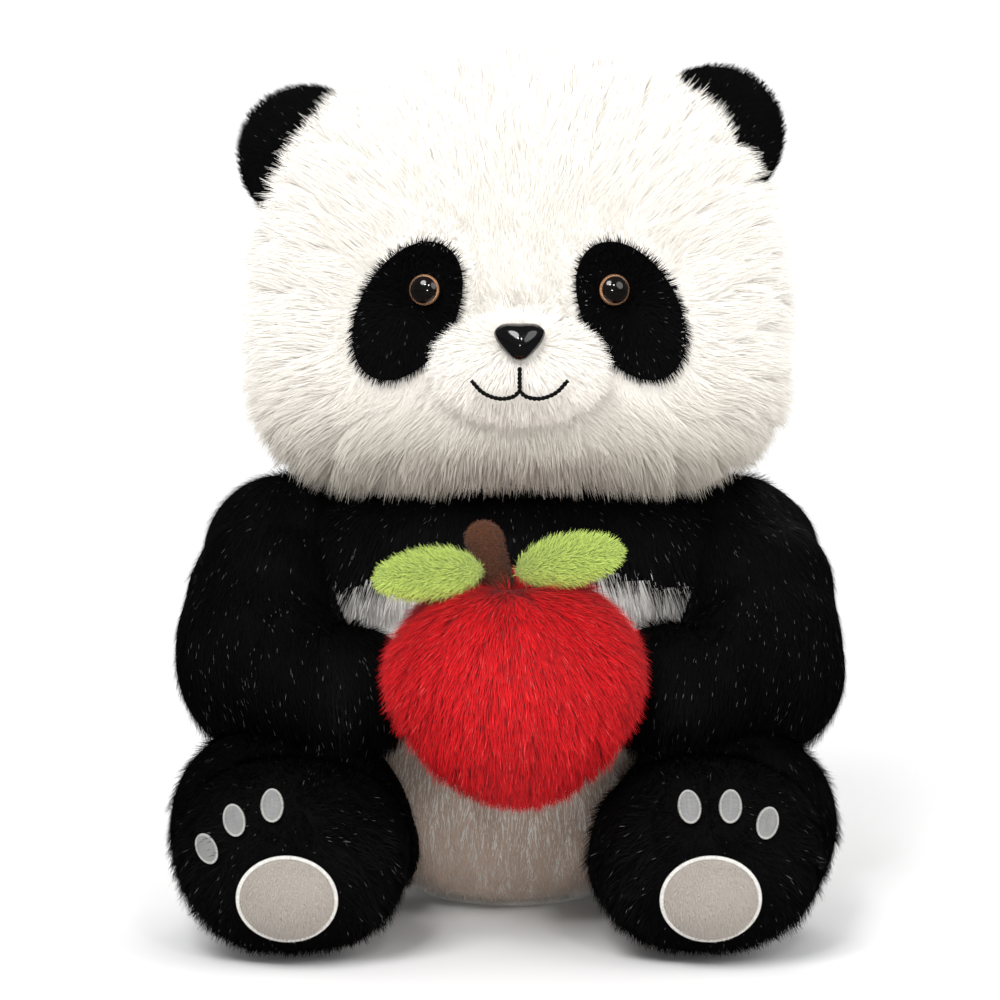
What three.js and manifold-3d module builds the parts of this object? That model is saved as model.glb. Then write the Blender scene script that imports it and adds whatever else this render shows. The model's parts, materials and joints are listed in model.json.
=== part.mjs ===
// A seated plush panda that hugs a red plush apple, as a bench-top assembly of its sewn
// covers, stuffed cores, safety eyes and nose, pads and threads.
// Millimetres, +Z up, the panda faces -Y and its own left side is +X.
// The origin is the middle of the flat seat panel, on the surface the panda sits on.

import * as THREE from 'three';
import { mergeVertices } from 'three/addons/utils/BufferGeometryUtils.js';
import Module from 'manifold-3d';

const wasm = await Module();
wasm.setup();

// ---------------------------------------------------------------- driving dimensions

const GAP = 0.35; // left between any two pieces that touch
const WALL = 4; // pile fabric, backing and flattened pile together
const CAP_STEPS = 2; // rings on the round end of an arm or a leg

// Head: a rounded block, widest at cheek height, held a little to the panda's left.
const HEAD = { side: 108, front: 82, back: 80, up: 118, down: 55, topPower: 2.5, basePower: 4 };
const HEAD_AT = new THREE.Vector3(3, 0, 217);
const HEAD_SEAM_Y = 12; // plane of the seam between the face and the back of the head

// Neck: everything inside this ball turns between the head and the torso.
const NECK_AT = new THREE.Vector3(0, 0, 160);
const NECK_SOCKET = 44;
const NECK_RING = { radius: 39.5, thread: 2.2 };

// Torso: a pear that is flat underneath.
const TORSO = { side: 76, front: 66, back: 74, up: 98, down: 66, topPower: 3.8, basePower: 2.6 };
const TORSO_AT = new THREE.Vector3(0, 0, 62);
const CHEST_EDGE_Z = 133; // lower edge of the black chest band
const SIDE_SEAM_Y = 8; // plane of the seam between the belly and the back
const SEAT = { side: 35, depth: 32, thickness: 3.5, y: 0 };

// Muzzle, on the front of the head; places are measured from the middle of the head.
const MUZZLE = { side: 35, front: 25, back: 25, up: 23, down: 23, topPower: 2.2, basePower: 2.2 };
const MUZZLE_AT = new THREE.Vector3(0, -74, -5.5);
const MUZZLE_WALL = 3;

// Safety eyes and nose: a moulded face, a shank through the fabric and a washer behind it.
const EYE = { radius: 6, height: 4.8, sink: 1.8, pocket: 6.5, x: 35, z: 23, turn: 13 };
const PATCH = { x: 39, z: 15, long: 28.5, short: 18, tilt: 30, rise: 1, sink: 2 };
const SHANK_RADIUS = 2;
const SHANK_LENGTH = 13;
const WASHER = { hole: 2.4, radius: 8, thickness: 1.6, settle: 3.4 };
const NOSE = { half: 9.5, height: 14, depth: 5, z: 4.5, tilt: 27 };
const THREAD_RADIUS = 0.8;

// Ears: padded discs, set into the sides of the head. The panda's right ear sits lower.
const EAR = { radius: 29, thickness: 11, wall: 2.5, y: -14, clearance: 2.4 };
const EAR_LEFT = { side: 1, x: 75, z: 81, lean: 48 };
const EAR_RIGHT = { side: -1, x: 81, z: 73, lean: 60 };

// Arms: shoulder, elbow and paw, mirrored.
const ARM_PATH = [[83, 0, 129], [95, -38, 103], [63, -79, 87]];
const ARM_RADII = [35, 34.5, 24];
const LIFT_STEPS = [0, 14]; // degrees through the range of the shoulders
const ARM_FILLING_GAP = 1.5; // wider than GAP, for the inside of the elbow's bend
const ARMHOLE = { x: 50, radius: 16 };

// Legs: hip and ankle, then a broad foot. The two feet do not sit quite alike.
const HIP = [54, -26, 30];
const LEG_RADII = [28, 26, 27];
const SPLAY_STEPS = [0, 8, 16]; // degrees through the range of the hips
const LIMB_ROOM = 1.8; // free space kept around a limb wherever it swings
const FOOT = { side: 45, front: 37, back: 33, up: 37.5, down: 37.5, topPower: 2.2, basePower: 2.2 };
const FOOT_LEFT = { side: 1, x: 70, y: -115, z: 37.5, roll: 12 };
const FOOT_RIGHT = { side: -1, x: 79, y: -115, z: 37.5, roll: 34 };
const SOLE = { side: 17, up: 15.5, drop: 10, rim: 1.9 };
const TOE = { reach: 33, spread: 25, half: 3.6, long: 6.2 };
const TOE_STEPS = [-1, 0, 1];
const PAD_TOP = -1; // pads and their stitching lie in the pile, below its surface
const PAD_BACK = -3;

// Apple: held on the belly between the paws.
const APPLE = { side: 50, front: 43, back: 43, up: 41, down: 41, topPower: 2.3, basePower: 2.1 };
const APPLE_AT = new THREE.Vector3(1.5, -110.5, 96);
const DIMPLE_RADIUS = 15;
const STEM = { radius: 6.8, length: 11, flat: 0.5, lean: 16, x: -9, z: 44 };
const LEAF = { long: 20, wide: 10, thick: 2.3, y: -9, back: 33 };
const LEAF_LEFT = { side: 1, x: 19, z: 48.5, rise: 12 };
const LEAF_RIGHT = { side: -1, x: -31, z: 43.5, rise: -5 };

// Tail: a short round one, low on the back.
const TAIL = { side: 18, front: 14, back: 16, up: 14, down: 14, topPower: 2, basePower: 2 };
const TAIL_AT = new THREE.Vector3(0, 80, 42);
const TAIL_WALL = 2.5;
const TAIL_CLEARANCE = 2.6;

// ---------------------------------------------------------------- materials

function finish(colour, roughness) {
  return new THREE.MeshStandardMaterial({ color: colour, roughness, metalness: 0 });
}

const WHITE_PILE = finish(0xefe9dd, 0.95);
const BLACK_PILE = finish(0x0c0c0d, 0.85);
const RED_PILE = finish(0xc4121a, 0.85);
const GREEN_PILE = finish(0x8fb63c, 0.9);
const BROWN_FELT = finish(0x6b3a1e, 0.95);
const CREAM_VELOUR = finish(0xd2c8bb, 0.8);
const SATIN_THREAD = finish(0xd9d8d4, 0.45);
const BLACK_THREAD = finish(0x111111, 0.6);
const GLOSS_BLACK = finish(0x0a0806, 0.15);
const WASHER_PLASTIC = finish(0xe8e8e8, 0.5);
const FILLING = finish(0xf6f6f4, 1);

// ---------------------------------------------------------------- solids

// A closed geometry as a solid that can be cut and joined.
function solid(geometry) {
  const bare = geometry.index ? geometry.toNonIndexed() : geometry.clone();
  bare.deleteAttribute('normal');
  bare.deleteAttribute('uv');
  const merged = mergeVertices(bare, 1e-4);
  const corners = [];
  for (let i = 0; i < merged.index.count; i += 3) {
    const [a, b, c] = [0, 1, 2].map((k) => merged.index.getX(i + k));
    if (a !== b && b !== c && c !== a) corners.push(a, b, c);
  }
  return new wasm.Manifold(
    new wasm.Mesh({
      numProp: 3,
      vertProperties: new Float32Array(merged.attributes.position.array),
      triVerts: new Uint32Array(corners),
    }),
  );
}

// Cutting can leave loose offcuts: only the largest piece is kept.
function largest(body) {
  return body.decompose().reduce((best, next) => (next.volume() > best.volume() ? next : best));
}

function meshOf(name, body, material) {
  const mesh = largest(body).getMesh();
  const geometry = new THREE.BufferGeometry();
  geometry.setAttribute('position', new THREE.BufferAttribute(mesh.vertProperties, 3));
  geometry.setIndex(new THREE.BufferAttribute(mesh.triVerts, 1));
  geometry.computeVertexNormals();
  const piece = new THREE.Mesh(geometry, material);
  piece.name = name;
  return piece;
}

// A pillow shape: an ellipse in plan whose height follows a power curve, so that a power
// above 2 fills out its shoulders. inset moves the whole surface in (or out, if negative).
function pillow(shape, at, inset = 0, segments = 16, rings = 10) {
  const geometry = new THREE.SphereGeometry(1, segments, rings);
  geometry.rotateX(Math.PI / 2);
  const points = geometry.attributes.position;
  for (let i = 0; i < points.count; i += 1) {
    const z = points.getZ(i);
    const reach = Math.sqrt(Math.max(0, 1 - z * z));
    const turn = Math.atan2(points.getY(i), points.getX(i));
    const power = z < 0 ? shape.basePower : shape.topPower;
    const height = (z < 0 ? shape.down : shape.up) - inset;
    const depth = (Math.sin(turn) < 0 ? shape.front : shape.back) - inset;
    const spread = reach < 1e-6 ? 0 : reach ** (2 / power);
    points.setXYZ(
      i,
      at.x + Math.cos(turn) * spread * (shape.side - inset),
      at.y + Math.sin(turn) * spread * depth,
      at.z + Math.sign(z) * Math.abs(z) ** (2 / power) * height,
    );
  }
  return solid(geometry);
}

// The front surface of a pillow: the depth of the point above (x, z) of its middle.
function frontOf(shape, x, z) {
  const power = z < 0 ? shape.basePower : shape.topPower;
  const height = Math.abs(z) / (z < 0 ? shape.down : shape.up);
  const spread = (1 - height ** power) ** (1 / power);
  return -shape.front * Math.sqrt(spread * spread - (x / shape.side) ** 2);
}

// A stuffed limb: a capsule bent along a path, with a radius for each point of the path.
function limb(path, radii, inset, sides = 10, steps = 5) {
  const geometry = new THREE.CapsuleGeometry(1, 1, CAP_STEPS, sides, steps);
  const curve = new THREE.CatmullRomCurve3(path.map((p) => new THREE.Vector3(...p)));
  const points = geometry.attributes.position;
  for (let i = 0; i < points.count; i += 1) {
    const along = THREE.MathUtils.clamp(points.getY(i) + 0.5, 0, 1);
    const past = points.getY(i) + 0.5 - along;
    const tangent = curve.getTangent(along);
    const side = new THREE.Vector3().crossVectors(tangent, new THREE.Vector3(0, 0, 1)).normalize();
    const up = new THREE.Vector3().crossVectors(side, tangent);
    const stage = along * (radii.length - 1);
    const from = Math.min(Math.floor(stage), radii.length - 2);
    const radius = THREE.MathUtils.lerp(radii[from], radii[from + 1], stage - from) - inset;
    const place = curve.getPoint(along);
    place.addScaledVector(tangent, past * radius);
    place.addScaledVector(side, points.getX(i) * radius);
    place.addScaledVector(up, points.getZ(i) * radius);
    points.setXYZ(i, place.x, place.y, place.z);
  }
  return solid(geometry);
}

function ball(at, radius, segments = 12, rings = 8) {
  const geometry = new THREE.SphereGeometry(radius, segments, rings);
  geometry.rotateX(Math.PI / 2);
  geometry.translate(at.x, at.y, at.z);
  return solid(geometry);
}

function block(low, high) {
  const size = high.map((value, axis) => value - low[axis]);
  const geometry = new THREE.BoxGeometry(...size);
  geometry.translate(...low.map((value, axis) => value + size[axis] / 2));
  return solid(geometry);
}

// Everything on one side of a plane across the panda: in front, behind, above or below.
const FAR = 400;
const inFrontOf = (y) => block([-FAR, -FAR, -FAR], [FAR, y - GAP / 2, FAR]);
const behind = (y) => block([-FAR, y + GAP / 2, -FAR], [FAR, FAR, FAR]);
const above = (z) => block([-FAR, -FAR, z + GAP / 2], [FAR, FAR, FAR]);
const below = (z) => block([-FAR, -FAR, -FAR], [FAR, FAR, z - GAP / 2]);
const UNDER_FLOOR = block([-FAR, -FAR, -FAR], [FAR, FAR, 0]);

// A round bar along local Z between two heights, then placed by a matrix.
function bar(radius, low, high, placed, sides = 10) {
  const geometry = new THREE.CylinderGeometry(radius, radius, high - low, sides);
  geometry.rotateX(Math.PI / 2);
  geometry.translate(0, 0, (low + high) / 2);
  geometry.applyMatrix4(placed);
  return solid(geometry);
}

// A straight prism along Y with an oval section, for cutting pads out of a surface.
function ovalPrism(at, side, up, tilt, sides = 16) {
  const geometry = new THREE.CylinderGeometry(1, 1, 60, sides);
  geometry.scale(side, 1, up);
  geometry.rotateY(THREE.MathUtils.degToRad(tilt));
  geometry.translate(at.x, at.y, at.z);
  return solid(geometry);
}

// The outward direction of a face at a place, with local Z pointing out of it.
function facing(at, turn, tilt) {
  const aim = new THREE.Euler(
    Math.PI / 2 - THREE.MathUtils.degToRad(tilt),
    0,
    THREE.MathUtils.degToRad(turn),
    'ZXY',
  );
  const turned = new THREE.Quaternion().setFromEuler(aim);
  return new THREE.Matrix4().compose(at, turned, new THREE.Vector3(1, 1, 1));
}

function thread(points, radius, steps) {
  const section = new THREE.Shape().absarc(0, 0, radius, 0, Math.PI * 2);
  const geometry = new THREE.ExtrudeGeometry(section, {
    extrudePath: new THREE.CatmullRomCurve3(points),
    steps,
    curveSegments: 3,
  });
  return solid(geometry);
}

// ---------------------------------------------------------------- whole outer surfaces

const headOuter = (grow = 0) => pillow(HEAD, HEAD_AT, -grow, 20, 12);
const muzzlePlace = HEAD_AT.clone().add(MUZZLE_AT);
const muzzleOuter = (grow = 0) => pillow(MUZZLE, muzzlePlace, -grow, 14, 8);
const torsoOuter = (inset = 0) => pillow(TORSO, TORSO_AT, inset).subtract(UNDER_FLOOR);
const appleOuter = (grow = 0) => pillow(APPLE, APPLE_AT, -grow, 16, 10);
const toSide = (body, side) => (side > 0 ? body : body.mirror([1, 0, 0]));
const arm = (side, inset, steps) => toSide(limb(ARM_PATH, ARM_RADII, inset, 10, steps), side);
const hipPlace = (side) => new THREE.Vector3(HIP[0] * side, HIP[1], HIP[2]);
const shoulderPlace = (side) => new THREE.Vector3(...ARM_PATH[0]).multiply(new THREE.Vector3(side, 1, 1));

function legPath({ side, x, y }) {
  const ankle = [x * side, y + 15, HIP[2]];
  const knee = [(HIP[0] + x) * side * 0.5, (HIP[1] + y) * 0.5, HIP[2]];
  return [[HIP[0] * side, HIP[1], HIP[2]], knee, ankle];
}

const NECK_BALL = ball(NECK_AT, NECK_SOCKET, 16, 10);

const panda = new THREE.Group();
function place(name, body, material) {
  panda.add(meshOf(name, body, material));
}

// ---------------------------------------------------------------- eyes and nose

// A moulded button with a shank: its face is a shallow dome.
function eyeButton(placed) {
  const profile = [new THREE.Vector2(0, EYE.height - EYE.sink)];
  for (let step = 1; step <= 5; step += 1) {
    const angle = (step / 5) * (Math.PI / 2);
    const radius = EYE.radius * Math.sin(angle);
    profile.push(new THREE.Vector2(radius, EYE.height * Math.cos(angle) - EYE.sink));
  }
  profile.push(new THREE.Vector2(SHANK_RADIUS, -EYE.sink));
  profile.push(new THREE.Vector2(SHANK_RADIUS, -SHANK_LENGTH));
  profile.push(new THREE.Vector2(0, -SHANK_LENGTH));
  const geometry = new THREE.LatheGeometry(profile.reverse(), 12);
  geometry.rotateX(Math.PI / 2);
  geometry.applyMatrix4(placed);
  return solid(geometry);
}

// How deep the washer's face lies under the surface that the shank goes through.
function washerDepth(wall) {
  return -(wall + WASHER.settle);
}

function washer(placed, wall) {
  const top = washerDepth(wall);
  const disc = bar(WASHER.radius, top - WASHER.thickness, top, placed);
  return disc.subtract(bar(WASHER.hole, top - 2 * WASHER.thickness, top + 1, placed));
}

// The room that a shank and its washer take out of the filling.
function washerRoom(placed, wall) {
  const top = washerDepth(wall);
  const low = top - WASHER.thickness - GAP;
  const disc = bar(WASHER.radius + GAP, low, 0, placed);
  return disc.add(bar(SHANK_RADIUS + GAP, -SHANK_LENGTH - 1, 0, placed));
}

function shankHole(placed) {
  return bar(SHANK_RADIUS + GAP, -SHANK_LENGTH, 12, placed);
}

// The dome of an eye sits in the pile, so its patch and the cover have a pocket for it.
function eyePocket(placed) {
  return shankHole(placed).add(bar(EYE.pocket, -EYE.sink - GAP, 12, placed));
}

function eyeFrame(side) {
  const x = EYE.x * side;
  const at = new THREE.Vector3(x, frontOf(HEAD, x, EYE.z), EYE.z).add(HEAD_AT);
  return facing(at, EYE.turn * side, 0);
}

const eyeFrames = { left: eyeFrame(1), right: eyeFrame(-1) };

function eyePatch(side, frame) {
  return headOuter(PATCH.rise)
    .intersect(patchOutline(side, 0))
    .subtract(headOuter(-PATCH.sink))
    .subtract(muzzleOuter(GAP))
    .subtract(eyePocket(frame));
}

function patchOutline(side, grow) {
  const middle = new THREE.Vector3(PATCH.x * side, MUZZLE_AT.y, PATCH.z).add(HEAD_AT);
  return ovalPrism(middle, PATCH.short + grow, PATCH.long + grow, -PATCH.tilt * side);
}

// The recess in the face that a patch is sewn into.
function patchRecess(side) {
  return patchOutline(side, GAP).subtract(headOuter(-PATCH.sink - GAP));
}

const noseRise = NOSE.z - MUZZLE_AT.z;
const noseAt = new THREE.Vector3(0, frontOf(MUZZLE, 0, noseRise), noseRise).add(muzzlePlace);
const noseFrame = facing(noseAt, 0, NOSE.tilt);

// A rounded triangle, point down, with a shank behind it.
function noseButton() {
  const { half, height, depth } = NOSE;
  const outline = new THREE.Shape();
  outline.moveTo(0, -height * 0.5);
  outline.quadraticCurveTo(half * 0.45, -height * 0.5, half * 0.75, -height * 0.02);
  outline.quadraticCurveTo(half * 1.25, height * 0.5, half * 0.5, height * 0.5);
  outline.lineTo(-half * 0.5, height * 0.5);
  outline.quadraticCurveTo(-half * 1.25, height * 0.5, -half * 0.75, -height * 0.02);
  outline.quadraticCurveTo(-half * 0.45, -height * 0.5, 0, -height * 0.5);
  const geometry = new THREE.ExtrudeGeometry(outline, {
    depth: depth * 0.4,
    bevelThickness: depth * 0.5,
    bevelSize: 1.4,
    bevelOffset: -1.4,
    bevelSegments: 1,
    curveSegments: 3,
  });
  geometry.applyMatrix4(noseFrame);
  const shank = bar(SHANK_RADIUS, -SHANK_LENGTH, depth * 0.4, noseFrame);
  return solid(geometry).subtract(muzzleOuter(GAP)).add(shank);
}

// ---------------------------------------------------------------- head

const headShell = headOuter()
  .subtract(headOuter(-WALL))
  .subtract(NECK_BALL)
  .subtract(eyePocket(eyeFrames.left))
  .subtract(eyePocket(eyeFrames.right))
  .subtract(patchRecess(1))
  .subtract(patchRecess(-1));
place('head_front_cover', headShell.intersect(inFrontOf(HEAD_SEAM_Y)), WHITE_PILE);
place('head_back_cover', headShell.intersect(behind(HEAD_SEAM_Y)), WHITE_PILE);

const eyeRooms = washerRoom(eyeFrames.left, WALL).add(washerRoom(eyeFrames.right, WALL));
place('head_stuffing', headOuter(-WALL - GAP).subtract(NECK_BALL).subtract(eyeRooms), FILLING);

const muzzleShell = muzzleOuter().subtract(muzzleOuter(-MUZZLE_WALL)).subtract(headOuter(GAP));
place('muzzle_cover', muzzleShell.subtract(shankHole(noseFrame)), WHITE_PILE);
const muzzleCore = muzzleOuter(-MUZZLE_WALL - GAP).subtract(headOuter(GAP));
place('muzzle_stuffing', muzzleCore.subtract(washerRoom(noseFrame, MUZZLE_WALL)), FILLING);
place('nose', noseButton(), GLOSS_BLACK);
place('nose_washer', washer(noseFrame, MUZZLE_WALL), WASHER_PLASTIC);

for (const [name, side] of [['left', 1], ['right', -1]]) {
  place(`${name}_eye`, eyeButton(eyeFrames[name]), GLOSS_BLACK);
  place(`${name}_eye_washer`, washer(eyeFrames[name], WALL), WASHER_PLASTIC);
  place(`${name}_eye_patch`, eyePatch(side, eyeFrames[name]), BLACK_PILE);
}

// The mouth: a short drop below the nose, then a wide smile with a dip in the middle.
function onMuzzle(x, z) {
  const lift = THREAD_RADIUS + GAP + 0.4;
  const depth = frontOf(MUZZLE, x, z - MUZZLE_AT.z) - lift;
  return new THREE.Vector3(x, depth + MUZZLE_AT.y, z).add(HEAD_AT);
}

const HALF_SMILE = [[2, -15], [7, -16], [13, -14], [17.5, -9.5]];
const SMILE = [
  ...HALF_SMILE.map(([x, z]) => [-x, z]).reverse(),
  [0, -13.3],
  ...HALF_SMILE,
];
const smile = thread(SMILE.map(([x, z]) => onMuzzle(x, z)), THREAD_RADIUS, 16);
const drop = thread([onMuzzle(0, -4.5), onMuzzle(0, -9), onMuzzle(0, -13.5)], THREAD_RADIUS, 3);
place('mouth_stitching', smile.add(drop), BLACK_THREAD);

// ---------------------------------------------------------------- ears

function earDisc({ side, x, z, lean }, inset) {
  const geometry = new THREE.SphereGeometry(1, 14, 8);
  const radius = EAR.radius - inset;
  geometry.scale(radius, EAR.thickness / 2 - inset, radius);
  geometry.rotateY(THREE.MathUtils.degToRad(lean * side));
  geometry.translate(HEAD_AT.x + x * side, EAR.y, HEAD_AT.z + z);
  return solid(geometry);
}

for (const [name, ear] of [['left', EAR_LEFT], ['right', EAR_RIGHT]]) {
  const outside = headOuter(EAR.clearance);
  const shell = earDisc(ear, 0).subtract(earDisc(ear, EAR.wall));
  place(`${name}_ear_cover`, shell.subtract(outside), BLACK_PILE);
  place(`${name}_ear_padding`, earDisc(ear, EAR.wall + GAP).subtract(outside), FILLING);
}

// ---------------------------------------------------------------- neck

function neckRing(at) {
  const geometry = new THREE.TorusGeometry(NECK_RING.radius, NECK_RING.thread, 5, 20);
  geometry.translate(at.x, at.y, at.z);
  return solid(geometry);
}

const neckPlug = ball(NECK_AT, NECK_SOCKET - 1.2, 16, 10).intersect(
  bar(NECK_RING.radius - NECK_RING.thread - GAP, -30, 30, new THREE.Matrix4().setPosition(NECK_AT), 16),
);
place('neck_stuffing', neckPlug, FILLING);
place('neck_seam_cord', neckRing(NECK_AT), BLACK_THREAD);

// ---------------------------------------------------------------- torso

const swing = (body, at, angles, degrees) =>
  body
    .translate([-at.x, -at.y, -at.z])
    .rotate(angles.map((part) => part * degrees))
    .translate([at.x, at.y, at.z]);

// The room that each limb sweeps through at its joint.
function limbRooms(side) {
  const sleeve = arm(side, -LIMB_ROOM, 3);
  const foot = side > 0 ? FOOT_LEFT : FOOT_RIGHT;
  const leg = limb(legPath(foot), LEG_RADII, -LIMB_ROOM, 10, 2);
  return [
    ...LIFT_STEPS.map((lift) => swing(sleeve, shoulderPlace(side), [-1, 0, 0], lift)),
    ...SPLAY_STEPS.map((splay) => swing(leg, hipPlace(side), [0, 0, side], splay)),
  ];
}

const openings = [NECK_BALL, ...limbRooms(1), ...limbRooms(-1)];
const cutAll = (body, cuts) => cuts.reduce((left, cut) => left.subtract(cut), body);

function seatPrism(grow) {
  const geometry = new THREE.CylinderGeometry(1, 1, SEAT.thickness + grow, 20);
  geometry.rotateX(Math.PI / 2);
  geometry.scale(SEAT.side + grow, SEAT.depth + grow, 1);
  geometry.translate(0, SEAT.y, (SEAT.thickness + grow) / 2);
  return solid(geometry);
}

const torsoShell = cutAll(torsoOuter().subtract(torsoOuter(WALL)), openings)
  .subtract(seatPrism(GAP));
place('chest_cover', torsoShell.intersect(above(CHEST_EDGE_Z)), BLACK_PILE);
const lowerShell = torsoShell.intersect(below(CHEST_EDGE_Z));
place('belly_cover', lowerShell.intersect(inFrontOf(SIDE_SEAM_Y)), WHITE_PILE);
place('back_cover', lowerShell.intersect(behind(SIDE_SEAM_Y)), WHITE_PILE);
place('seat_panel', seatPrism(0), WHITE_PILE);
const torsoCore = cutAll(torsoOuter(WALL + GAP), openings).subtract(seatPrism(GAP));
place('torso_stuffing', torsoCore, FILLING);

// The closing seam runs down the middle of the back, over the cover.
function closingSeam() {
  const points = [];
  for (let z = 2; z <= 54; z += 13) {
    const height = Math.abs(z) / (z < 0 ? TORSO.down : TORSO.up);
    const power = z < 0 ? TORSO.basePower : TORSO.topPower;
    const depth = TORSO.back * (1 - height ** power) ** (1 / power);
    points.push(new THREE.Vector3(0, depth + THREAD_RADIUS + 2 * GAP, z).add(TORSO_AT));
  }
  return thread(points, THREAD_RADIUS, 8);
}
place('back_seam_thread', closingSeam(), SATIN_THREAD);

// ---------------------------------------------------------------- tail

const tailRoot = torsoOuter(-TAIL_CLEARANCE);
const tailOuter = (inset) => pillow(TAIL, TAIL_AT, inset, 12, 8);
place('tail_cover', tailOuter(0).subtract(tailOuter(TAIL_WALL)).subtract(tailRoot), WHITE_PILE);
place('tail_stuffing', tailOuter(TAIL_WALL + GAP).subtract(tailRoot), FILLING);

// ---------------------------------------------------------------- arms

for (const [name, side] of [['left', 1], ['right', -1]]) {
  const whole = (inset) => arm(side, inset).subtract(appleOuter(1 + inset));
  const armhole = ball(shoulderPlace(side).setX(ARMHOLE.x * side), ARMHOLE.radius, 10, 6);
  place(`${name}_arm_cover`, whole(0).subtract(whole(WALL)).subtract(armhole), BLACK_PILE);
  place(`${name}_arm_stuffing`, whole(WALL + ARM_FILLING_GAP), FILLING);
}

// ---------------------------------------------------------------- legs and feet

for (const [name, foot] of [['left', FOOT_LEFT], ['right', FOOT_RIGHT]]) {
  const { side } = foot;
  const footAt = new THREE.Vector3(foot.x * side, foot.y, foot.z);
  const whole = (inset) =>
    limb(legPath(foot), LEG_RADII, inset)
      .add(pillow(FOOT, footAt, inset, 14, 10))
      .subtract(UNDER_FLOOR);
  const raised = (rise) => pillow(FOOT, footAt, -rise, 14, 10);
  const soleAt = footAt.clone().setY(foot.y - FOOT.front).add(new THREE.Vector3(0, 0, -SOLE.drop));
  const soleOutline = (grow) => ovalPrism(soleAt, SOLE.side + grow, SOLE.up + grow, 0);
  const toeOutline = (step, grow) => {
    const degrees = foot.roll + step * TOE.spread;
    const angle = THREE.MathUtils.degToRad(degrees);
    const offset = new THREE.Vector3(Math.sin(angle) * side, 0, Math.cos(angle));
    const toeAt = soleAt.clone().addScaledVector(offset, TOE.reach);
    return ovalPrism(toeAt, TOE.half + grow, TOE.long + grow, degrees * side * 0.5, 12);
  };
  const padLayer = raised(PAD_TOP).subtract(raised(PAD_BACK));
  const rim = soleOutline(SOLE.rim + GAP).subtract(soleOutline(GAP));
  place(`${name}_foot_pad`, padLayer.intersect(soleOutline(0)), CREAM_VELOUR);
  place(`${name}_foot_pad_stitching`, padLayer.intersect(rim), SATIN_THREAD);
  TOE_STEPS.forEach((step, index) => {
    place(`${name}_toe_pad_${index + 1}`, padLayer.intersect(toeOutline(step, 0)), SATIN_THREAD);
  });

  const recesses = TOE_STEPS.reduce(
    (joined, step) => joined.add(toeOutline(step, GAP)),
    soleOutline(SOLE.rim + 2 * GAP),
  ).subtract(raised(PAD_BACK - GAP));
  const legHole = ball(new THREE.Vector3(22 * side, 0, HIP[2]), 22, 12, 8);
  const cover = whole(0).subtract(whole(WALL)).subtract(legHole).subtract(recesses);
  place(`${name}_leg_cover`, cover, BLACK_PILE);
  place(`${name}_leg_stuffing`, whole(WALL + GAP), FILLING);
}

// ---------------------------------------------------------------- apple

const dimpleAt = APPLE_AT.clone().add(new THREE.Vector3(0, 0, APPLE.up + 7));
const dimple = (grow) => ball(dimpleAt, DIMPLE_RADIUS - grow, 10, 6);
// The belly presses a flat into the back of the apple and of its filling.
const belly = torsoOuter(-1);
const appleOpening = block([-12, APPLE_AT.y + 20, 84], [15, FAR, 108]);
const appleCore = appleOuter(-WALL).subtract(dimple(-WALL));
const appleShell = appleOuter().subtract(dimple(0)).subtract(appleCore);
place('apple_cover', appleShell.subtract(belly).subtract(appleOpening), RED_PILE);
const filling = appleOuter(-WALL - GAP).subtract(dimple(-WALL - GAP)).subtract(torsoOuter(-6));
place('apple_stuffing', filling, FILLING);

function stem() {
  const geometry = new THREE.CapsuleGeometry(STEM.radius, STEM.length, 2, 10, 1);
  geometry.rotateX(Math.PI / 2);
  geometry.scale(1, STEM.flat, 1);
  geometry.rotateY(THREE.MathUtils.degToRad(-STEM.lean));
  geometry.translate(APPLE_AT.x + STEM.x, APPLE_AT.y, APPLE_AT.z + STEM.z + STEM.radius);
  return solid(geometry);
}

function leaf({ side, x, z, rise }) {
  const geometry = new THREE.SphereGeometry(1, 12, 6);
  geometry.rotateX(Math.PI / 2);
  geometry.scale(LEAF.long, LEAF.thick, LEAF.wide);
  geometry.rotateX(THREE.MathUtils.degToRad(-LEAF.back));
  geometry.rotateY(THREE.MathUtils.degToRad(-rise * side));
  geometry.translate(APPLE_AT.x + x, APPLE_AT.y + LEAF.y, APPLE_AT.z + z);
  return solid(geometry);
}

const stemBody = stem();
place('apple_stem', stemBody.subtract(appleOuter(GAP).subtract(dimple(GAP))), BROWN_FELT);
const leafClear = appleOuter(0.8);
place('apple_leaf_left', leaf(LEAF_LEFT).subtract(leafClear), GREEN_PILE);
place('apple_leaf_right', leaf(LEAF_RIGHT).subtract(leafClear), GREEN_PILE);

export default panda;
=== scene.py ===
"""Sewn looks for a seated plush panda that hugs a red plush apple.

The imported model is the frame. Each cover gets a smooth sewn backing with its pile on it,
and the eyes, nose, pads, stem, leaves and threads are made as a soft-toy maker would.
Metres, +Z up; the panda faces -Y and its own left side is +X.
"""

import json
import math

import bmesh
import bpy
import numpy as np
from bpy.props import FloatProperty, FloatVectorProperty, PointerProperty
from mathutils import Matrix, Vector, noise

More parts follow.
